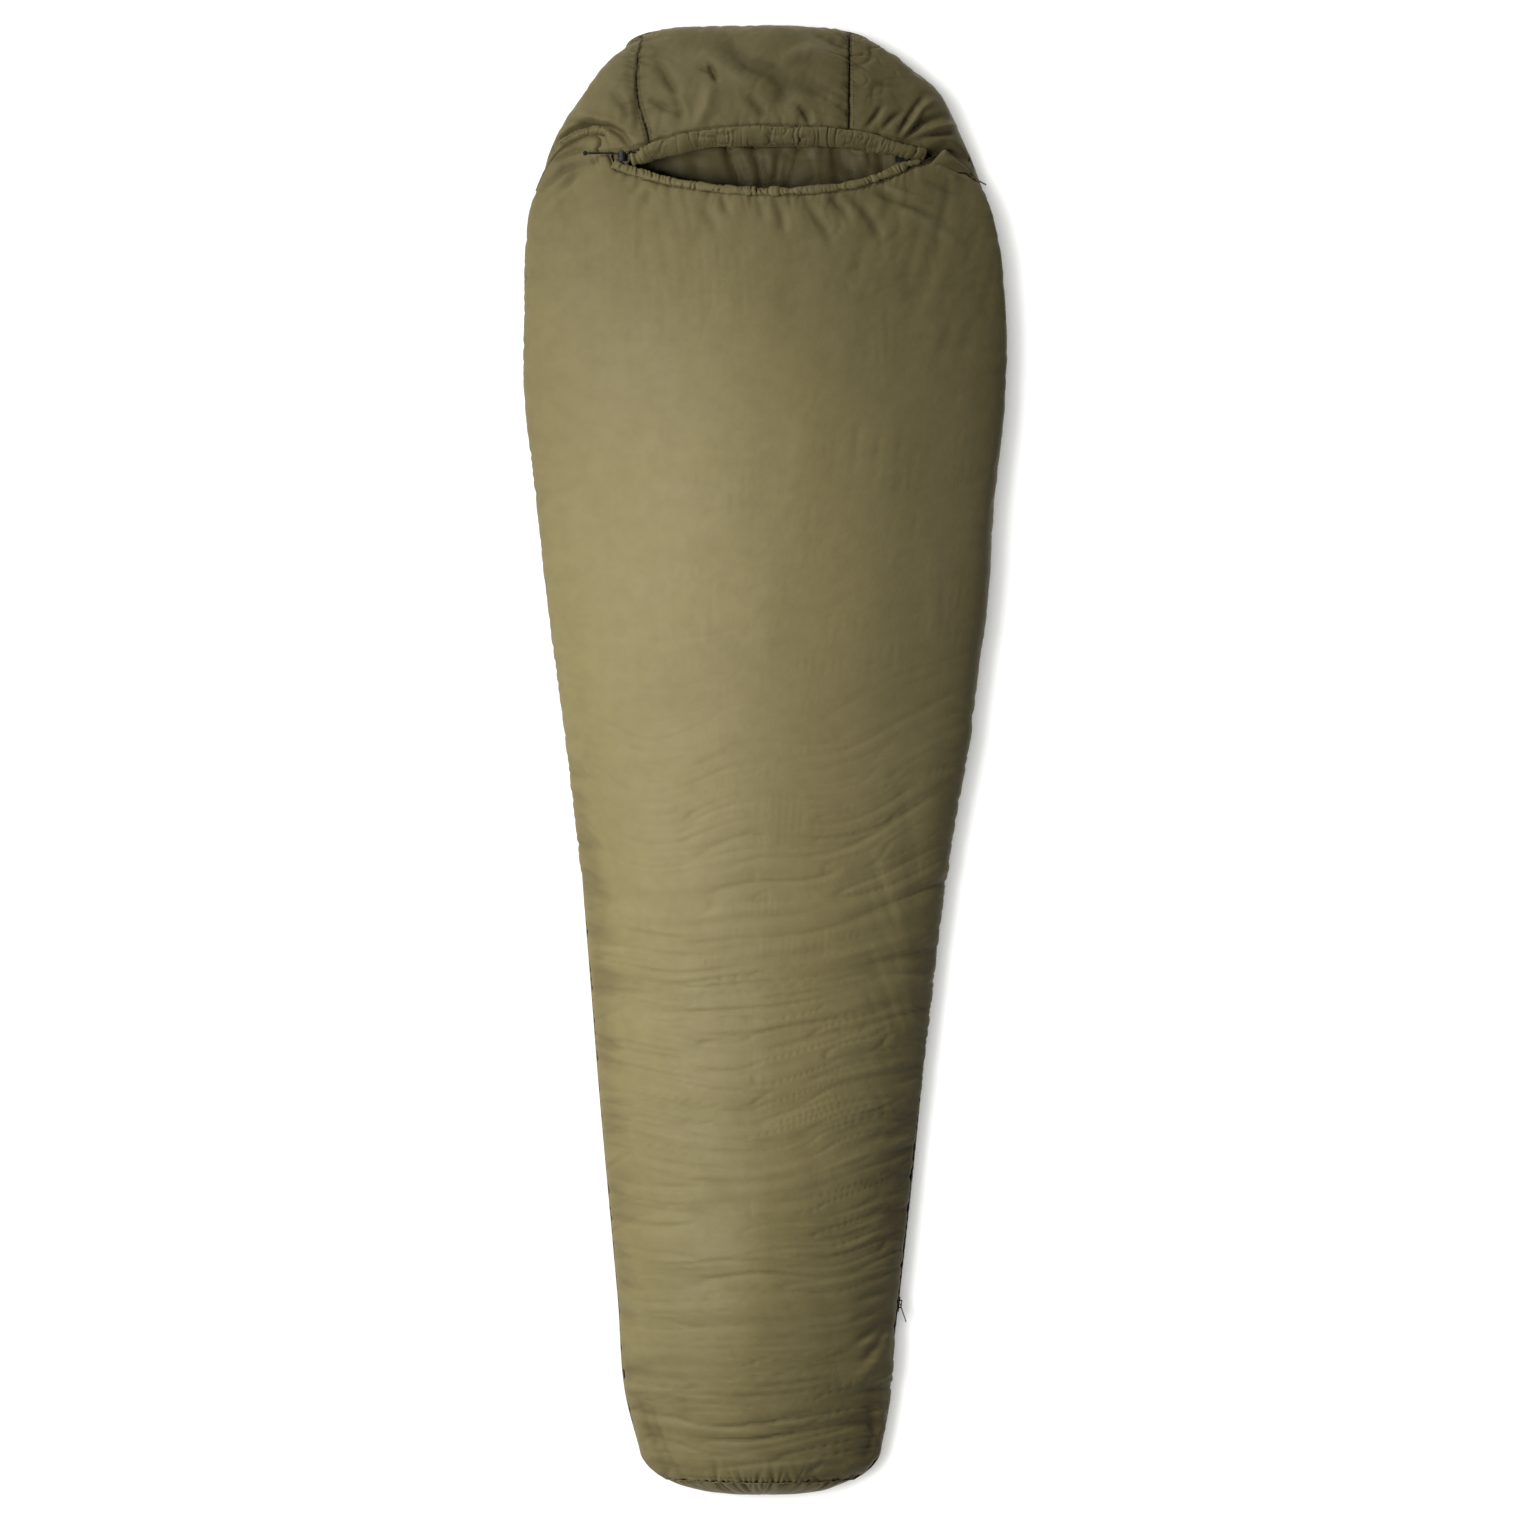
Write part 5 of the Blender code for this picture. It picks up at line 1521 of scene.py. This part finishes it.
def make_strap():
    """The webbing strap that hangs inside the right end of the face opening."""
    rows, columns = 40, 9
    grid = []
    for t in np.linspace(0, 1, rows):
        back = 0.9036 - 0.0080 * t - 0.003 * math.sin(t * math.pi)
        centre = np.array((0.2015, back, 0.0875 - 0.0275 * t))
        across = np.linspace(-1, 1, columns)
        grid.append([centre + np.array((0.0065 * k, -0.0004 * k * k, 0)) for k in across])
    grid = np.array(grid)
    ribs = 0.00014 * np.sin(np.linspace(0, 40 * math.pi, rows))[:, None, None] * np.array([0, -1.0, 0])
    return cloth_piece("webbing_strap", finer((grid + ribs)[:, ::-1]), CORD_LOOK, skin=0.0012)


# ---------------------------------------------------------------- build

def at_neck(piece):
    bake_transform(piece)


make_stage()

upper, upper_relief = make_upper_shell()
shell_upper = cloth_piece("shell_upper", upper, SHELL_LOOK, relief=upper_relief)
at_neck(shell_upper)
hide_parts("upper_shell", "upper_insulation")

base, base_relief = make_base_shell()
shell_base = cloth_piece("shell_base", base, SHELL_LOOK, relief=base_relief)
at_neck(shell_base)
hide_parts("base_shell", "base_insulation")

foot, foot_relief = make_foot()
shell_foot = cloth_piece("shell_foot", foot, SHELL_LOOK, closed=True, relief=foot_relief)
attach(shell_foot, "sack")
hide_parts("foot_shell", "foot_insulation")

hood, hood_relief, hood_seams = make_hood_top()
for name, first, last, stood_for in (
    ("hood_panel_left", 0, hood_seams[0], ("hood_left_shell",)),
    ("hood_panel_centre", hood_seams[0], hood_seams[1], ("hood_centre_shell", "hood_upper_insulation")),
    ("hood_panel_right", hood_seams[1], hood.shape[1] - 1, ("hood_right_shell",)),
):
    cut = slice(first, last + 1)
    panel = cloth_piece(name, hood[:, cut], SHELL_LOOK, relief=hood_relief[:, cut])
    at_neck(panel)
    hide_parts(*stood_for)

back, back_relief = make_hood_back()
hood_back = cloth_piece("hood_panel_back", back, SHELL_LOOK, relief=back_relief)
at_neck(hood_back)
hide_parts("hood_back_shell", "hood_back_insulation")

rim, rim_relief = make_rim()
rim_tunnel = cloth_piece("rim_tunnel", rim, SHELL_LOOK, skin=THIN_SKIN, closed=True, relief=rim_relief)
at_neck(rim_tunnel)
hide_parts("hood_rim_tunnel")

collar, collar_relief = make_collar()
collar_tunnel = cloth_piece(
    "collar_tunnel", collar, SHELL_LOOK, skin=THIN_SKIN, closed=True, relief=collar_relief
)
at_neck(collar_tunnel)
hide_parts("collar_hem_tunnel", "collar_elastic")

for name, made, stood_for, bend in (
    ("lining_upper", make_lining_upper(), "upper_lining", True),
    ("lining_base", make_lining_base(), "base_lining", True),
    ("lining_hood_back", make_lining_hood_back(), "hood_back_lining", True),
    ("lining_hood_top", make_lining_hood_top(), "hood_upper_lining", True),
    ("lining_foot", make_lining_foot(), "foot_lining", False),
):
    grid, relief = made
    # The inner skin takes every second point, so the grid's rows and open columns are odd in number
    rows, columns = (count - 1 + count % 2 for count in grid.shape[:2])
    if name == "lining_foot":
        columns = grid.shape[1]
    grid, relief = grid[:rows, :columns], relief[:rows, :columns]
    piece = cloth_piece(name, grid, LINING_LOOK, closed=name == "lining_foot", relief=relief)
    if bend:
        at_neck(piece)
    else:
        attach(piece, "sack")
    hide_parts(stood_for)

(band, _), band_path = make_shoulder_band()
shoulder_band = solid_tube("shoulder_seam_band", band, SHELL_LOOK)
at_neck(shoulder_band)

garage = make_garage()
garage_flap = cloth_piece("garage_flap", finer(garage), SHELL_LOOK, skin=THIN_SKIN)
at_neck(garage_flap)
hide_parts("zip_garage")

for name, low, high, node_name in (
    ("tape_upper", TAPE_REACH[0], TAPE_REACH[1], "zip_tape_upper"),
    ("tape_lower", -TAPE_REACH[1], -TAPE_REACH[0], "zip_tape_lower"),
):
    tape = make_tape(name, low, high)
    at_neck(tape)
    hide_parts(node_name)
for name, sign, node_name in (("coil_upper", 1, "zip_chain_upper"), ("coil_lower", -1, "zip_chain_lower")):
    coil = make_coil(name, sign)
    at_neck(coil)
    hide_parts(node_name)

tube, _ = make_draft_tube()
draft_tube = solid_tube("draft_tube", tube, LINING_LOOK)
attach(draft_tube, "sack")
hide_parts("zip_draft_tube")

cord = make_drawcord()
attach(cord, "hood")
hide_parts("hood_drawcord")
strap = make_strap()
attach(strap, "hood")
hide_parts("inner_strap")

# Thread along the seams
runs = []
hood_out = normals_of(hood)
for column in hood_seams:
    for side in (-2, 2):
        rows = slice(4, hood.shape[0] - 4)
        out = hood_out[rows, column + side]
        runs.append((hood[rows, column + side] + out * THREAD_LIFT, out))
columns = slice(30, hood.shape[1] - 34)
runs.append((hood[3, columns] + hood_out[3, columns] * THREAD_LIFT, hood_out[3, columns]))
upper_out = normals_of(upper)
columns = slice(60, upper.shape[1] - 60)
runs.append((upper[-5, columns] + upper_out[-5, columns] * THREAD_LIFT, upper_out[-5, columns]))
foot_row = slice(40, upper.shape[1] - 40)
runs.append((upper[3, foot_row] + upper_out[3, foot_row] * THREAD_LIFT, upper_out[3, foot_row]))
band_up = np.tile((0.0, 0.0, 1.0), (len(band_path), 1))
band_side = ring_frames(band_path)[2]
for offset in (-BAND_STITCH, BAND_STITCH):
    runs.append((band_path + band_side * offset + band_up * BAND_STITCH, band_up))
tack = np.array([
    (a, b, section_height(a, b) + 0.0022)
    for a, b in np.linspace(*TACK_ENDS, 12)
])
runs.append((tack, np.tile((0.0, 0.0, 1.0), (12, 1))))
seam_thread = stitches("seam_thread", runs, THREAD_LOOK)
at_neck(seam_thread)

for names, look in (
    (("upper_slider_body", "upper_slider_outer_pull", "upper_slider_inner_pull"), METAL_LOOK),
    (("lower_slider_body", "lower_slider_outer_pull", "lower_slider_inner_pull"), METAL_LOOK),
    (("zip_bottom_stop", "zip_top_stop_upper", "zip_top_stop_lower"), METAL_LOOK),
    (("cord_lock_barrel", "cord_lock_plunger"), PLASTIC_LOOK),
    (("cord_lock_spring",), SPRING_LOOK),
    (("drawcord_knot",), CORD_LOOK),
):
    for name in names:
        for slot in NODES[name].material_slots:
            slot.material = look

for piece in bpy.context.scene.objects:
    if piece.type == "MESH" and piece.name != "floor":
        BAG_LIGHT.objects.link(piece)
